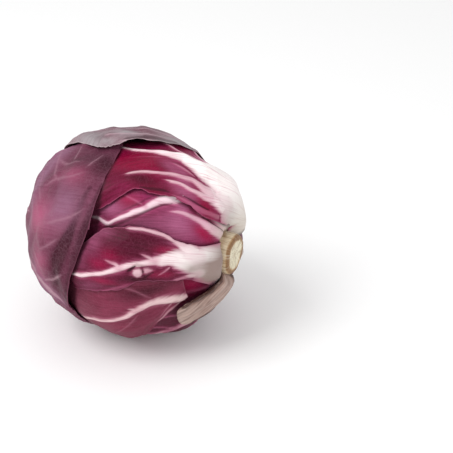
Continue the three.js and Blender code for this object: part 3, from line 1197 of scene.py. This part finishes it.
# The big dull purple leaf that wraps the back, the tip and part of the front.
WRAPPER_CAP = Leaf(
    node="wrapper_leaf_cap", slot="outer_leaf_purple", finish=WRAPPER_PURPLE, turn=235, rounds=223,
    end=283.5, tip_power=(1.95, 2.9),
    stations=(
        (8, -12, 0, 12), (42, -33, 0, 35), (84, -69, 0, 71), (126, -78, 0, 79), (230, -79, 0, 79),
        (284, -70, 4, 79),
    ),
    rows=270, columns=160, knots=((0, 8), (0.25, 110), (0.55, 223)),
    veins=(
        *pinnate((
            (8, 0, 6.5), (24, 0, 4.2), (50, 0, 2.6), (100, 0, 1.7), (160, -3, 1), (196, 2, 0.6),
            (226, -2, 0.3),
        ), 9, 66, 0.1, seed=21),
        Vein(((235, 31, 0.3), (243, 29, 0.5), (252, 27, 0.3)), 0.25, 0.1),
        Vein(((237, 30, 0.3), (251, 29, 0.45), (263, 32, 0.3)), 0.25, 0.1),
        Vein(((245, 45, 0.3), (251, 36, 0.5), (253, 29, 0.3)), 0.25, 0.15),
        Vein(((272, 42, 0.3), (270, 34, 0.5), (267, 27, 0.3)), 0.25, 0.15),
        Vein((
            (240, -41, 0.3), (246, -40, 0.5), (255, -39, 0.5), (261, -37, 0.5), (270, -33, 0.3),
        ), 0.3, 0.3),
        Vein(((224, 26, 0.3), (236, 12, 0.4), (246, 0, 0.3)), 0.2, 0.05),
        Vein(((226, 38, 0.3), (236, 31, 0.5), (246, 20, 0.5), (256, 16, 0.3)), 0.25, 0.1),
        Vein(((240, 12, 0.3), (250, 18, 0.5), (262, 20, 0.4), (270, 26, 0.3)), 0.25, 0.08),
        Vein(((254, -8, 0.3), (262, -6, 0.5), (272, -2, 0.4), (280, 4, 0.3)), 0.25, 0.08),
        Vein(((248, -22, 0.3), (256, -20, 0.5), (266, -14, 0.4)), 0.25, 0.06),
        # A pale line that stands out no higher, along the lower left silhouette: a painted rim
        # highlight.
        Vein((
            (212, -20, -0.6), (224, -28, 0.6), (232, -37, 1.8), (242, -47, 2.2), (254, -58, 0.2),
        ), 0, 0.45),
    ),
    patches=(
        *ovals(
            Tone.BLOOM, (267, 4, 8, 9, 1, -20), (255, -2, 10, 8, 0.5), (228, 22, 9, 16, 0.7),
            (236, -41, 8, 12, 0.9, 40), (246, -52, 5, 12, 0.9, 60), (230, 4, 6, 26, 0.6),
            (232, 34, 9, 12, 0.8), (258, 14, 6, 9, 0.4),
        ),
        *ovals(
            Tone.GLOW, (246, -4, 13, 10, 0.9), (240, -34, 8, 8, 0.5), (262, 22, 12, 7, 0.6),
            (250, -28, 9, 6, 0.5),
        ),
        # The first two darken the furrow: painted shade; the rest are dark maroon.
        *ovals(
            Tone.DUSK, (270, -17, 4.5, 13, 1, -32), (262, -30, 6, 12, 0.95, -25),
            (256, -46, 9, 9, 0.45), (278, 34, 9, 12, 0.9), (262, 40, 10, 12, 0.6),
            (254, 30, 9, 7, 0.4),
        ),
        # Painted shade along the furrow and just inside the margin, with a near-black line there.
        Stain(Tone.DUSK, (
            (278, 16, 1.5), (276, 2, 3.5), (272, -12, 5), (266, -26, 6), (258, -40, 3),
        ), 0.55),
        Stain(Tone.DUSK, (
            (283, 20, 1.5), (283, 6, 3), (281, -8, 4), (277, -24, 4), (271, -38, 3), (262, -52, 2),
        ), 0.7),
        Stain(Tone.CREASE, (
            (283, 2, 0.5), (281.5, -10, 1.5), (279, -22, 1.8), (275, -36, 1.6), (268, -48, 0.8),
        ), 0.4),
    ),
    folds=(
        Fold(((276, 2), (270, -12), (262, -28), (258, -44)), -0.9, 4),
        Fold(((264, 10), (258, -10), (250, -28)), 0.7, 6),
        Fold(((280, -4), (277, -24), (272, -44)), 0.8, 2.5),
        Fold(((240, 55), (252, 38), (262, 20)), 0.7, 4),
        Fold(((226, 0), (238, 18), (246, 36)), -0.6, 5),
        Fold(((262, 50), (266, 38), (262, 26)), -0.5, 2.5),
        Fold(((276, 44), (272, 34), (272, 22)), 0.5, 2),
        Fold(((246, 24), (254, 12), (256, 0)), -0.4, 3),
    ),
    lifts=(Lift((279, -26), 16, 0.9), Lift((268, -52), 14, 2.6), Lift((284, 16), 22, -0.3)), hug=2,
    fan=(-500, 0), spread=700, ripple=0.5, shadow=(2.5, 0.85), nicks=0.8, seed=22,
)

# The narrow leaf in the middle of the front, with a small tear beside its rib.
FRONT = Leaf(
    node="outer_leaf_front", slot="outer_leaf_magenta", finish=LEAF_FRONT, turn=76, rounds=100,
    end=128,
    stations=(
        (4, -8, 2, 12), (14, -9, 3, 16), (20, -9, 2, 14), (28, -9, 0, 11.5), (37, -11, -3, 9.5),
        (50, -16.5, -4, 9.5), (63, -20, -2, 10.5), (74, -20, 3, 16.5), (85, -17, 7, 20),
        (96, -8, 10, 22), (128, 0, 12, 24),
    ),
    rows=250, columns=110, knots=((0, 4), (0.92, 104)),
    veins=(
        Vein((
            (104, 12, 0.6), (100, 11.5, 0.9), (96, 11.5, 1.1), (89, 9, 1), (83, 7, 1),
            (77, 4, 1.2), (73, 2, 1.3), (68, 0, 1.2), (63, -1, 1.3), (59, -2, 1.6), (55, -3, 2.1),
            (52, -3, 2.7), (48, -4, 3.4), (42, -3.5, 4.7), (36, -2, 6), (30, -0.5, 8),
            (24, 1, 9.5), (16, 3, 11), (4, 2, 9),
        ), rise=1.7, white=1),
        Vein((
            (74, -19, 0.5), (70, -19, 0.7), (64, -19, 0.7), (58, -18, 0.8), (54, -17, 0.9),
            (50, -16, 1.1), (46, -14, 1.5), (42, -12, 2.2), (39, -9.5, 3), (33, -5, 4),
        ), rise=0.8, white=0.7),
        Vein(((74, 2, 0.8), (76, 0.5, 0.8), (79, 0, 0.5), (83, -1, 0.3)), 0.4, 0.4),
        Vein(((56, -3, 0.8), (59, -4.5, 0.6), (64, -6.5, 0.35)), 0.4, 0.35),
        Vein(((47, 0, 0.5), (50, 3, 0.4), (54, 6, 0.3)), 0.3, 0.3),
        Vein(((45, 9, 0.4), (41, 8.6, 0.8), (36, 7.4, 1.3), (31, 6, 2)), 0.4, 0.3),
        Vein(((86, 21, 0.5), (79, 17.5, 0.8), (73, 14.5, 0.8), (66, 11, 0.4)), 0.2, 0),
    ),
    areas=(
        Area((
            (66.4, 3), (65.2, 2.3), (63.4, 2), (62, 2.8), (61.6, 4.6), (62.4, 6.4), (64.2, 7),
            (65.6, 6.2), (66.6, 4.6),
        ), 0.7, 0.45),
        Area(((61, 1.6), (59, 1.2), (56.6, 2), (57.6, 3.2), (59.4, 4.2), (60.6, 4.2)), 0.7, 0.3),
    ),
    patches=(
        # The first four darken the rib's foot: painted shade; the rest are dark maroon.
        *ovals(
            Tone.DUSK, (28, 7, 10, 6, 1, -10), (19, 6, 9, 8, 0.9), (30, 2, 9, 4, 1.2, -8),
            (12, 1, 8, 9, 0.5), (74, -5, 5, 2.5, 0.5), (68, -10, 14, 5, 0.6), (66, 8, 8, 2.5, 0.6),
            (77, 15, 6, 2, 0.5),
        ),
        # Painted shade round the tear's flap, above and below it.
        Stain(Tone.DUSK, ((67, 0.6, 1), (64.8, -0.4, 1.9), (62, 0.1, 1.7), (58.5, 0.8, 1)), 1),
        Stain(Tone.DUSK, ((66, 7.6, 0.8), (62, 7.6, 1.6), (59, 5.6, 1.9), (56, 3.5, 0.8)), 0.8),
        Patch(Tone.DUSK, (60, 9), (10, 1.6), 0.7),
        *ovals(
            Tone.BLOOM, (91, -9, 5, 6, 1, 30), (85, -15.5, 6, 2.5, 0.9), (97, 0, 4, 8, 0.8),
            (46, -11, 5, 1.6, 0.7, -20), (92, 18, 9, 5, 0.6, 30),
        ),
        *ovals(
            Tone.GLOW, (85, 2.5, 6, 3, 0.8), (78, -4, 7, 3.5, 0.8), (50, -8.6, 7, 2.2, 1),
            (83, 12, 8, 2.2, 0.8), (51, 5, 8, 2.4, 0.7),
        ),
        # Painted shade in the tear's hole and under the lip of its flap.
        Stain(Tone.CREASE, (
            (69.4, 3.7, 0.5), (68.2, 2.9, 1.2), (67, 1.8, 1.2), (65.8, 0.8, 0.7),
        ), 0.9),
        Stain(Tone.CREASE, ((62, 2.2, 0.4), (61.3, 3.6, 0.8), (61.4, 4.8, 0.4)), 0.8),
    ),
    folds=(
        Fold(((62.2, 1.2), (61.2, 3.4), (61.2, 5.6)), -0.8, 0.7),
        Fold(((69.2, 3.4), (67.2, 1.9), (65.8, 0.6)), -0.9, 0.9),
    ),
    lifts=(Lift((78, -19), 14, 0.3), Lift((78, 18), 12, -0.5), Lift((55, 9), 14, 0.2)), hug=2.1,
    fan=(-6, 0), spread=70, ripple=0.24, shadow=(2.2, 0.6), seed=31,
)

# The vivid leaf over the front of the top, with a white fan of ribs at its foot.
UPPER = Leaf(
    node="outer_leaf_upper", slot="outer_leaf_magenta", finish=LEAF_MAGENTA, turn=0, rounds=120,
    end=160,
    stations=(
        (1, -13, -8, 0), (9, -27, -17, -9), (15, -36, -15, -3), (23, -46, -14, 7),
        (28, -51, -12.5, 12.5), (34, -55, -11, 17), (43, -57, -8, 21), (50, -58, -5, 23.5),
        (62, -58, -1, 30), (74, -56, 3, 35), (84, -54, 9, 46), (140, -48, 12, 46),
    ),
    rows=230, columns=180, knots=((0, 1), (0.86, 104), (0.93, 120)),
    veins=(
        Vein((
            (104, 4, 0.4), (94, 3, 0.8), (87, 3, 1.3), (81, 2.5, 1.5), (77, 2, 1.8),
            (72, 1.5, 2.5), (68, 0, 3.1), (65, -2, 4), (62, -3.5, 4.7), (58, -3.5, 5.2),
            (54, -4.5, 6.2), (50, -6, 8.5), (46, -9, 12), (40, -12, 15), (34, -12.5, 17),
            (27, -13, 16), (20, -15, 14), (11, -17, 8), (1, -8, 4),
        ), rise=3.6, white=1),
        Vein((
            (82, -12, 0.3), (76, -12, 0.7), (70, -12, 0.9), (65, -12, 1.1), (60, -13, 1.6),
            (52, -16, 3),
        ), 0.7, 0.55),
        Vein(((70, -30, 0.4), (58, -29, 1), (50, -29, 1.8), (44, -30, 3), (34, -28, 4)), 0.7, 0.7),
        Vein(((62, -22, 0.5), (53, -22, 1.8), (47, -24, 3)), 0.5, 0.25),
        Vein((
            (84, 29, 0.4), (80, 27, 0.6), (75, 24, 0.7), (66, 19, 0.8), (59, 14, 1), (54, 11, 1.2),
            (50, 8, 1.5), (46, 7, 1.9), (42, 6, 2.6), (38, 4, 4),
        ), rise=0.9, white=0.65),
        Vein((
            (62, 21, 0.4), (58, 19, 0.7), (53, 16, 0.8), (47, 14, 1), (42, 11, 1.4), (39, 9, 1.9),
            (35, 5, 3), (28, 0, 4),
        ), rise=0.9, white=0.7),
        Vein((
            (54, 24, 0.3), (48, 21.5, 0.4), (42, 19, 0.8), (36, 16, 1.2), (30, 11, 1),
            (25, 6, 0.8),
        ), 0.3, 0.12),
        Vein(((66, 8, 0.2), (58, 6, 0.5), (50, 4.5, 0.7)), 0.4, 0.3),
        Vein(((90, 14, 0.2), (78, 10, 0.3), (68, 6, 0.3)), 0.2, 0),
    ),
    patches=(
        *ovals(
            Tone.GLOW, (82, 15, 20, 13, 1.3), (66, -22, 10, 7, 0.7), (36, 11, 9, 4, 1),
            (62, 28, 8, 3, 0.5),
        ),
        *ovals(
            Tone.BLOOM, (61, 9, 10, 3.8, 1.3), (53, 13, 9, 2.5, 1), (47, 17.5, 9, 3, 1.1, 12),
            (56, -22, 9, 6, 1.2),
        ),
        *ovals(Tone.DUSK, (71, 27, 13, 4, 0.9, 12), (92, 34, 10, 10, 0.35), (66, 12, 8, 3, 0.45)),
        # Painted shade: by the fan near the foot, along the right margin, and in the furrow.
        Patch(Tone.CREASE, (21, -2), (9, 6), 0.3),
        Stain(Tone.CREASE, ((70, 31, 0.5), (64, 28.5, 1.4), (58, 25, 1.2), (54, 23, 0.5)), 0.75),
        Stain(Tone.CREASE, ((47, 19, 0.4), (41, 16, 0.9), (37, 14, 1), (32, 10.5, 0.6)), 0.8),
    ),
    folds=(
        Fold(((48, 19), (41, 16), (33, 11)), -0.6, 1),
        Fold(((34, -22), (45, -25), (56, -29), (67, -31), (78, -33)), 1.7, 9),
    ),
    lifts=(Lift((45, 20), 10, 0.6),), hug=2, fan=(0, -34), spread=60, ripple=0.28,
    shadow=(2, 0.65), seed=41,
)

# The lowest leaf of the front, cut off on the slant near its foot.
LOWER = Leaf(
    node="outer_leaf_lower", slot="outer_leaf_magenta", finish=LEAF_LOWER, turn=107, rounds=115,
    end=155,
    stations=(
        (36.5, -12, 1, 4), (43, -20, 1, 8.5), (49, -25, -1, 12.5), (53, -27.5, -2, 16.5),
        (60, -31, -1, 25), (72, -36, 5, 42), (92, -40, 10, 50), (136, -38, 12, 48),
    ),
    rows=170, columns=170, knots=((0, 36.5), (0.85, 104), (0.92, 115)),
    veins=(
        Vein((
            (106, 16, 0.4), (100, 14, 0.8), (93, 11, 0.9), (84, 9, 0.9), (78, 7, 1), (73, 5, 1.2),
            (67, 1, 1.4), (60, -1.5, 1.7), (53, -1, 2.1), (46, 1.4, 2.5), (40, 4, 2.2),
            (36.5, 4.4, 1.5),
        ), rise=1.7, white=1),
        Vein(((72, -1, 0.4), (68, 0, 0.6), (64, 0.5, 0.8)), 0.4, 0.4),
        Vein((
            (36.5, 3.6, 0.7), (43, 7.4, 0.7), (49, 10, 0.7), (53, 14.5, 0.6), (58, 21, 0.4),
        ), 0.1, 0.45),
        Vein(((44, 3, 0.4), (50, 7, 0.4), (56, 13, 0.3)), 0.2, 0.1),
        Vein(((66, 4, 0.4), (74, 14, 0.35), (84, 24, 0.3)), 0.2, 0),
        Vein(((56, -4, 0.4), (66, -12, 0.35), (80, -18, 0.3)), 0.2, 0),
    ),
    patches=(
        *ovals(Tone.BLOOM, (90, 22, 14, 14, 0.5), (104, 0, 9, 14, 0.7)),
        *ovals(Tone.DUSK, (60, -10, 18, 5, 0.8), (44, 3, 8, 3, 0.5)),
        Patch(Tone.GLOW, (76, 16), (12, 5), 0.3),
    ),
    lifts=(Lift((40, 4), 14, 1.2),), hug=1.7, fan=(0, -5), spread=60, ripple=0.3, shadow=(2, 0.4),
    seed=51,
)

# The leaf that shows at the back between the two wrappers.
BACK = Leaf(
    node="outer_leaf_back", slot="outer_leaf_purple", finish=WRAPPER_PURPLE, turn=272, rounds=140,
    end=186,
    stations=(
        (6, -11, 0, 11), (40, -34, 0, 34), (70, -56, 0, 56), (100, -62, 0, 62), (150, -60, 0, 60),
    ),
    rows=110, columns=100,
    veins=pinnate((
        (6, 0, 7), (24, 0, 4.6), (46, 0, 2.8), (80, 0, 1.7), (120, 0, 1), (165, 0, 0.4),
    ), 7, 50, 0.4, seed=61),
    seed=61,
)

# The leaf of the front's upper half, with a rib that bends sharply.
MIDDLE = Leaf(
    node="outer_leaf_middle", slot="outer_leaf_magenta", finish=LEAF_MIDDLE, turn=32, rounds=135,
    end=178,
    stations=(
        (4, -13, -8, -1), (12, -17, -8, 8), (24, -22, -10, 19), (36, -26, -11, 28),
        (51, -32, -5, 36), (66, -36, 9, 43), (83, -38, 23, 50), (138, -36, 24, 48),
    ),
    rows=220, columns=170, knots=((0, 4), (0.84, 104), (0.93, 135)),
    veins=(
        Vein((
            (100, 23, 0.5), (97, 23, 0.9), (93, 23, 0.9), (89, 24.3, 1), (86, 25, 1.1),
            (83.5, 24, 1), (80, 21, 1), (74, 17, 1.3), (71, 14, 1.5), (67, 11, 1.6),
            (62, 4.5, 1.8), (59, 1, 2.1), (55, -1.5, 2.3), (52, -3.5, 2.5), (48, -7.5, 2.5),
            (43, -11, 2.8), (34, -15, 3.4), (22, -15, 4.5), (6, -11, 5.5),
        ), rise=2, white=0.95),
        Vein((
            (54, 6, 0.4), (50, 4, 0.6), (46, 2.3, 0.8), (39, 1, 1.2), (34, 0, 1.7), (28, 0, 2.4),
            (22, -1, 3.2), (12, -5, 4.5), (4, -8, 5),
        ), rise=0.9, white=0.6),
        Vein((
            (34, -6.5, 0.4), (31, -5.5, 1), (25, -6.3, 1.6), (19, -8, 2.5), (8, -10, 3.5),
        ), 0.6, 0.6),
        Vein(((66, 9, 0.5), (74, 7, 0.4), (84, 5, 0.3)), 0.2, 0.05),
        Vein(((40, -4.5, 0.8), (36, -4, 1.6), (31, -3.6, 0.8)), 0.2, 0.02),
        Vein(((60, 22, 0.3), (72, 32, 0.3), (84, 38, 0.2)), 0.2, 0),
    ),
    patches=(
        *ovals(
            Tone.BLOOM, (44, 9, 12, 8, 1, 8), (47, 0, 4, 3, 0.8), (60, 20, 14, 8, 0.4),
            (87, 15, 8, 5, 0.9),
        ),
        *ovals(Tone.GLOW, (34, -4, 8, 2.6, 1), (29, 5, 8, 3.6, 1), (78, 8, 8, 4, 0.6)),
        *ovals(Tone.DUSK, (66, 19, 12, 4, 0.7, 38), (92, 10, 10, 8, 0.5)),
        Stain(Tone.DUSK, ((80, 17, 1), (72, 10, 1.2), (64, 1, 1)), 0.5),
        # Painted shade: under the bent rib, and in the furrow by the lower rib.
        Stain(Tone.CREASE, (
            (88, 27.5, 0.8), (82, 26, 1.8), (76, 22, 2), (70, 17, 1.6), (64, 10.5, 1.3),
            (58, 4, 1), (53, 0.5, 0.4),
        ), 0.7),
        Stain(Tone.CREASE, (
            (33, -2.8, 0.4), (27, -3.2, 0.9), (18, -4.6, 0.8), (10, -6, 0.5),
        ), 0.75),
    ),
    folds=(Fold(((33, -2.8), (26, -3.3), (12, -5.8)), -0.7, 0.9),), hug=1.9, fan=(0, -12),
    spread=60, ripple=0.26, shadow=(1.8, 0.55), seed=71,
)

# The leaf under the trimmed foot, mostly in shade.
LOW = Leaf(
    node="outer_leaf_low", slot="outer_leaf_magenta", finish=LEAF_FRONT, turn=142, rounds=138,
    end=182,
    stations=(
        (6, -12, 0, 12), (38, -32, 0, 32), (66, -46, 0, 46), (96, -52, 0, 52), (138, -50, 0, 50),
    ),
    rows=110, columns=100,
    veins=pinnate((
        (6, 0, 7), (20, 2, 3.6), (46, 8, 1.6), (80, 8, 1.2), (120, 4, 0.9), (160, 0, 0.4),
    ), 6, 42, 0, 0.5, seed=81),
    seed=81,
    patches=(
        # Painted shade over most of the leaf, which lies in shadow under the trimmed foot.
        Patch(Tone.DUSK, (54, 4), (18, 30), 0.6),
        *ovals(Tone.GLOW, (28, -18, 9, 8, 1), (42, -22, 6, 6, 1)),
    ),
)

# The leaf of the underside.
UNDER = Leaf(
    node="outer_leaf_under", slot="outer_leaf_purple", finish=LEAF_LOWER, turn=212, rounds=136,
    end=180,
    stations=(
        (6, -12, 0, 12), (38, -32, 0, 32), (66, -50, 0, 50), (96, -56, 0, 56), (138, -54, 0, 54),
    ),
    rows=100, columns=90,
    veins=pinnate((
        (6, 0, 7), (24, 0, 4.6), (46, 0, 2.8), (80, 0, 1.7), (120, 0, 1), (160, 0, 0.4),
    ), 7, 44, 0.5, seed=91),
    seed=91,
)

@dataclass
class Head:
    """All the leaves of the head, from the trimmed rib outside to the tight inside."""

    form: HeadForm
    stem: "Stem"
    golden_angle: float = 137.5
    inner_count: int = 12
    inner_share: float = 0.945
    inner_step: float = 0.066
    inner_reach: float = 40.0
    inner_turn: float = 212.0
    inner_rounds: float = 135.0
    inner_ends: tuple[float, ...] = (178.0, 182.0, 186.0)
    neck_share: float = 0.8  # of the stem's radius, at which the feet begin
    stem_sunk: float = 1.2
    outer: tuple[Leaf, ...] = (
        TRIMMED_BASE, WRAPPER_TOP, WRAPPER_CAP, FRONT, UPPER, LOWER, BACK, MIDDLE, LOW, UNDER,
    )

    def inside(self, k: int) -> Leaf:
        """One leaf of the tight inside.

        Args:
            k: Its number from the outermost of them, from 0.

        Returns:
            The leaf.
        """
        share = self.inner_share - self.inner_step * k
        radius = share * self.inner_reach
        neck = self.stem.radius_at(radius) * self.neck_share
        start = math.asin(neck / (radius - self.stem_sunk)) * self.form.radius
        rib = ((start, 0, 8), (start + 20, 0, 5), (80, 0, 3), (120, 0, 1.6), (165, 0, 0.5))
        return Leaf(
            node=f"inner_leaf_{k + 1:02d}", slot="inner_leaf", finish=LEAF_CRIMSON,
            turn=(self.inner_turn + self.golden_angle * (k + 1)) % 360,
            rounds=self.inner_rounds, end=self.inner_ends[k % len(self.inner_ends)],
            stations=(
                (start, -14, 0, 14), (start + 36, -42, 0, 42), (100, -66, 0, 66), (190, -68, 0, 68),
            ),
            rows=40, columns=30, veins=pinnate(rib, 4, 40, 0.8, seed=100 + k),
            share=share, hug=0.3, ripple=0.12, seed=100 + k,
        )

    def make(self) -> dict[str, bpy.types.Material]:
        """Builds and dresses every leaf.

        Returns:
            The materials of the leaves, by the names of their finishes.
        """
        stack = LeafStack(self.form, self.outer)
        materials: dict[str, bpy.types.Material] = {}
        for leaf in (*self.outer, *(self.inside(k) for k in range(self.inner_count))):
            piece = Blade(leaf, stack).build()
            if leaf.finish.name not in materials:
                materials[leaf.finish.name] = leaf.finish.material()
            dress(piece, materials[leaf.finish.name], leaf.node)
        return materials


@dataclass(frozen=True)
class Lamp:
    """A soft square light: where it stands and its side, in metres, and its watts."""

    name: str
    place: Point
    side: float
    power: float


@dataclass
class Studio:
    """A pale floor, soft light from above, and a camera on the front, above the head."""

    azimuth: float = 23.0
    elevation: float = 28.0
    distance: float = 0.706
    lens: float = 100.0
    film: float = 36.0
    aim: Point = (-0.0004, 0.0015, 0.0566)
    aside: float = 0.05084  # how far right of the head the camera points
    above: float = 0.00361
    floor_size: float = 60.0
    floor_gap: float = 0.2  # millimetres that the floor lies under the head
    room_light: float = 0.78
    lamps: tuple[Lamp, ...] = (
        Lamp("key_light", (-0.6, -0.8, 1.2), 0.9, 12.5),
        Lamp("fill_light", (0.9, -1.0, 0.6), 1.0, 4.0),
    )

    def camera(self) -> None:
        """Places the camera and makes it the scene's."""
        a, e = math.radians(self.azimuth), math.radians(self.elevation)
        back = Vector((math.sin(a) * math.cos(e), -math.cos(a) * math.cos(e), math.sin(e)))
        right = Vector((math.cos(a), math.sin(a), 0))
        up = back.cross(right)
        aim = Vector(self.aim) + right * self.aside + up * self.above
        bpy.ops.object.camera_add()
        made = bpy.context.object
        turned = Matrix((right, up, back)).transposed().to_4x4()
        made.matrix_world = Matrix.Translation(aim + back * self.distance) @ turned
        made.data.lens = self.lens
        made.data.sensor_width = self.film
        bpy.context.scene.camera = made

    def light(self, lamp: Lamp) -> None:
        """Adds a lamp that faces the head."""
        where = Vector(lamp.place)
        turn = (where - Vector(self.aim)).to_track_quat("Z", "Y")
        bpy.ops.object.light_add(type="AREA", location=where, rotation=turn.to_euler())
        made = bpy.context.object
        made.name = lamp.name
        made.data.size = lamp.side
        made.data.energy = lamp.power

    def surroundings(self) -> None:
        """Fills the room with even pale light."""
        world = bpy.data.worlds.new("pale_room")
        world.use_nodes = True
        backdrop = world.node_tree.nodes["Background"]
        backdrop.inputs["Color"].default_value = (1.0, 1.0, 1.0, 1.0)
        backdrop.inputs["Strength"].default_value = self.room_light
        bpy.context.scene.world = world
        bpy.context.scene.view_settings.view_transform = "Standard"

    def floor(self) -> None:
        """Lays the floor just under the head."""
        depth = -self.floor_gap * MM
        bpy.ops.mesh.primitive_plane_add(size=self.floor_size, location=(0, 0, depth))
        floor = bpy.context.object
        floor.name = "floor"
        floor.data.materials.append(FloorFinish().material())

    def make(self) -> None:
        """Sets up the whole studio."""
        deselect()
        self.camera()
        for lamp in self.lamps:
            self.light(lamp)
        self.surroundings()
        self.floor()


@dataclass
class Stem:
    """The short stem: its cut face, and the cone that the leaves grow from."""

    centre: Point
    cut_x: float = 62.0
    cut_radius: float = 11.2
    cut_bevel: tuple[float, float] = (1.2, 0.7)  # along and in from the edge of the cut
    neck_x: float = 54.0
    neck_radius: float = 11.8
    mid_x: float = 28.0
    mid_radius: float = 9.0
    tip_x: float = 6.0
    tip_radius: float = 4.0
    sides: int = 96
    rings: int = 14  # on the cut face
    ring_width: float = 0.75
    cuts: int = 16  # round the cone
    smooth_angle: float = 45.0

    def radius_at(self, x: float) -> float:
        """The stem's radius at a distance from the head's centre."""
        places = (self.tip_x, self.mid_x, self.neck_x)
        return float(np.interp(x, places, (self.tip_radius, self.mid_radius, self.neck_radius)))

    def make(self) -> None:
        """Models the stem from a rod with rings on its ends, and dresses it."""
        deselect()
        bpy.ops.mesh.primitive_cylinder_add(
            vertices=self.sides, radius=self.cut_radius, depth=self.cut_x - self.tip_x,
            end_fill_type="NGON", location=(0, 0, 0),
        )
        piece = bpy.context.object
        piece.name = "stem_core_flesh"
        bpy.ops.object.mode_set(mode="EDIT")
        bpy.ops.mesh.select_all(action="SELECT")
        bpy.ops.mesh.bisect(plane_co=(0, 0, 0), plane_no=(0, 0, 1))
        bpy.ops.mesh.select_mode(type="FACE")
        bpy.ops.mesh.select_all(action="DESELECT")
        bpy.ops.object.mode_set(mode="OBJECT")
        for face in piece.data.polygons:
            face.select = abs(face.normal.z) > 0.9
        bpy.ops.object.mode_set(mode="EDIT")
        for _ in range(self.rings):
            bpy.ops.mesh.inset(thickness=self.ring_width)
        bpy.ops.mesh.poke()
        bpy.ops.mesh.select_all(action="DESELECT")
        bpy.ops.object.mode_set(mode="OBJECT")
        for edge in piece.data.edges:
            first, last = (piece.data.vertices[i].co for i in edge.vertices)
            edge.select = abs(first.z - last.z) > 1.0
        bpy.ops.object.mode_set(mode="EDIT")
        bpy.ops.mesh.select_mode(type="EDGE")
        bpy.ops.mesh.subdivide(number_cuts=self.cuts)
        bpy.ops.object.mode_set(mode="OBJECT")
        self.shape(piece.data)
        bpy.ops.object.shade_smooth_by_angle(angle=math.radians(self.smooth_angle))
        dress(piece, STEM_CUT.material(), "stem_core")

    def shape(self, mesh: bpy.types.Mesh) -> None:
        """Turns the plain rod into a cone with a slightly hollow, uneven cut.

        Args:
            mesh: The rod, upright and centred, in millimetres.
        """
        x, y, along = read_points(mesh).T
        along = along + (self.cut_x + self.tip_x) / 2
        out = np.hypot(x, y) / self.cut_radius
        angle = np.arctan2(y, x)
        back, inset = self.cut_bevel
        xs = (self.tip_x, self.mid_x, self.neck_x, self.cut_x - back, self.cut_x)
        radii = (self.tip_radius, self.mid_radius, self.neck_radius)
        radii = (*radii, self.cut_radius, self.cut_radius - inset)
        lobes = 1 + 0.025 * np.sin(3 * angle + 0.6) + 0.018 * np.sin(5 * angle + 2.0)
        lobes += 0.01 * np.sin(9 * angle)
        radius = out * np.interp(along, xs, radii) * lobes
        face = along > self.cut_x - 0.01
        dish = 0.7 * smooth(out, 0.0, 0.9) - 0.35 * smooth(out, 0.9, 1.0)
        ridges = 0.07 * np.sin(out * 26 + 1.2 * np.sin(angle * 2)) * smooth(out, 1.0, 0.8)
        slant = 0.5 * out * np.cos(angle - 0.8)
        length = along + (dish + ridges + slant - 0.6) * face
        made = np.stack([length, radius * np.cos(angle), radius * np.sin(angle)], 1)
        write_points(mesh, (made + np.array(self.centre)) * MM)
        edge = smooth(out, 0.55, 1.0) * np.where(face, 1.0, 0.45)
        dry = edge + 0.35 * smooth(out, 0.35, 0.0) * face
        grain = 0.9 * (0.4 + 0.6 * smooth(out, 0.0, 0.5))
        fibre, rays = grain * np.cos(angle), grain * np.sin(angle)
        write_attribute(mesh, "dry", dry, fibre, 1.8 * rays + along / GRAIN_LENGTH)


@dataclass
class HeartBud:
    """The bud of small folded leaves at the very middle."""

    centre: Point = (-3.7, 1.1, 56.2)
    half_length: float = 5.8
    radius: float = 4.8
    folds: int = 5
    twist: float = 0.8
    crease: float = 0.16
    segments: int = 48
    rings: int = 32
    far: float = 9.0  # from any margin, so that none is lined

    def make(self, material: bpy.types.Material) -> None:
        """Models the bud from a ball with pressed-in folds, and dresses it.

        Args:
            material: What it is made of.
        """
        deselect()
        bpy.ops.mesh.primitive_uv_sphere_add(
            segments=self.segments, ring_count=self.rings, radius=1.0
        )
        piece = bpy.context.object
        piece.name = "heart_bud_leaves"
        x, y, z = read_points(piece.data).T
        angle, ring = np.arctan2(y, x), np.hypot(x, y)
        turned = self.folds * (angle + self.twist * z)
        crease = 1 - self.crease * np.abs(np.sin(turned / 2)) ** 0.6 * ring
        out = ring * self.radius * crease
        made = np.stack([-z * self.half_length, out * np.cos(angle), out * np.sin(angle)], 1)
        write_points(piece.data, (made + np.array(self.centre)) * MM)
        edge = np.interp(np.sin(turned), (-1, 1), (-3, 0.6))
        write_attribute(piece.data, "rib", edge, 0.6, 1.0)
        write_attribute(piece.data, "tone", 0.0, 0.0, 0.0)
        write_attribute(piece.data, "rim", self.far, 0.0, 0.0)
        piece.data.uv_layers[0].name = STREAK_MAP
        bpy.ops.object.shade_smooth()
        dress(piece, material, "heart_bud")


def main() -> None:
    """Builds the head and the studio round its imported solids."""
    logging.basicConfig(level=logging.INFO, format="%(name)s: %(message)s")
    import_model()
    form = HeadForm()
    Studio().make()
    stem = Stem(form.centre)
    stem.make()
    materials = Head(form, stem).make()
    HeartBud().make(materials[LEAF_CRIMSON.name])


if __name__ == "__main__":
    main()
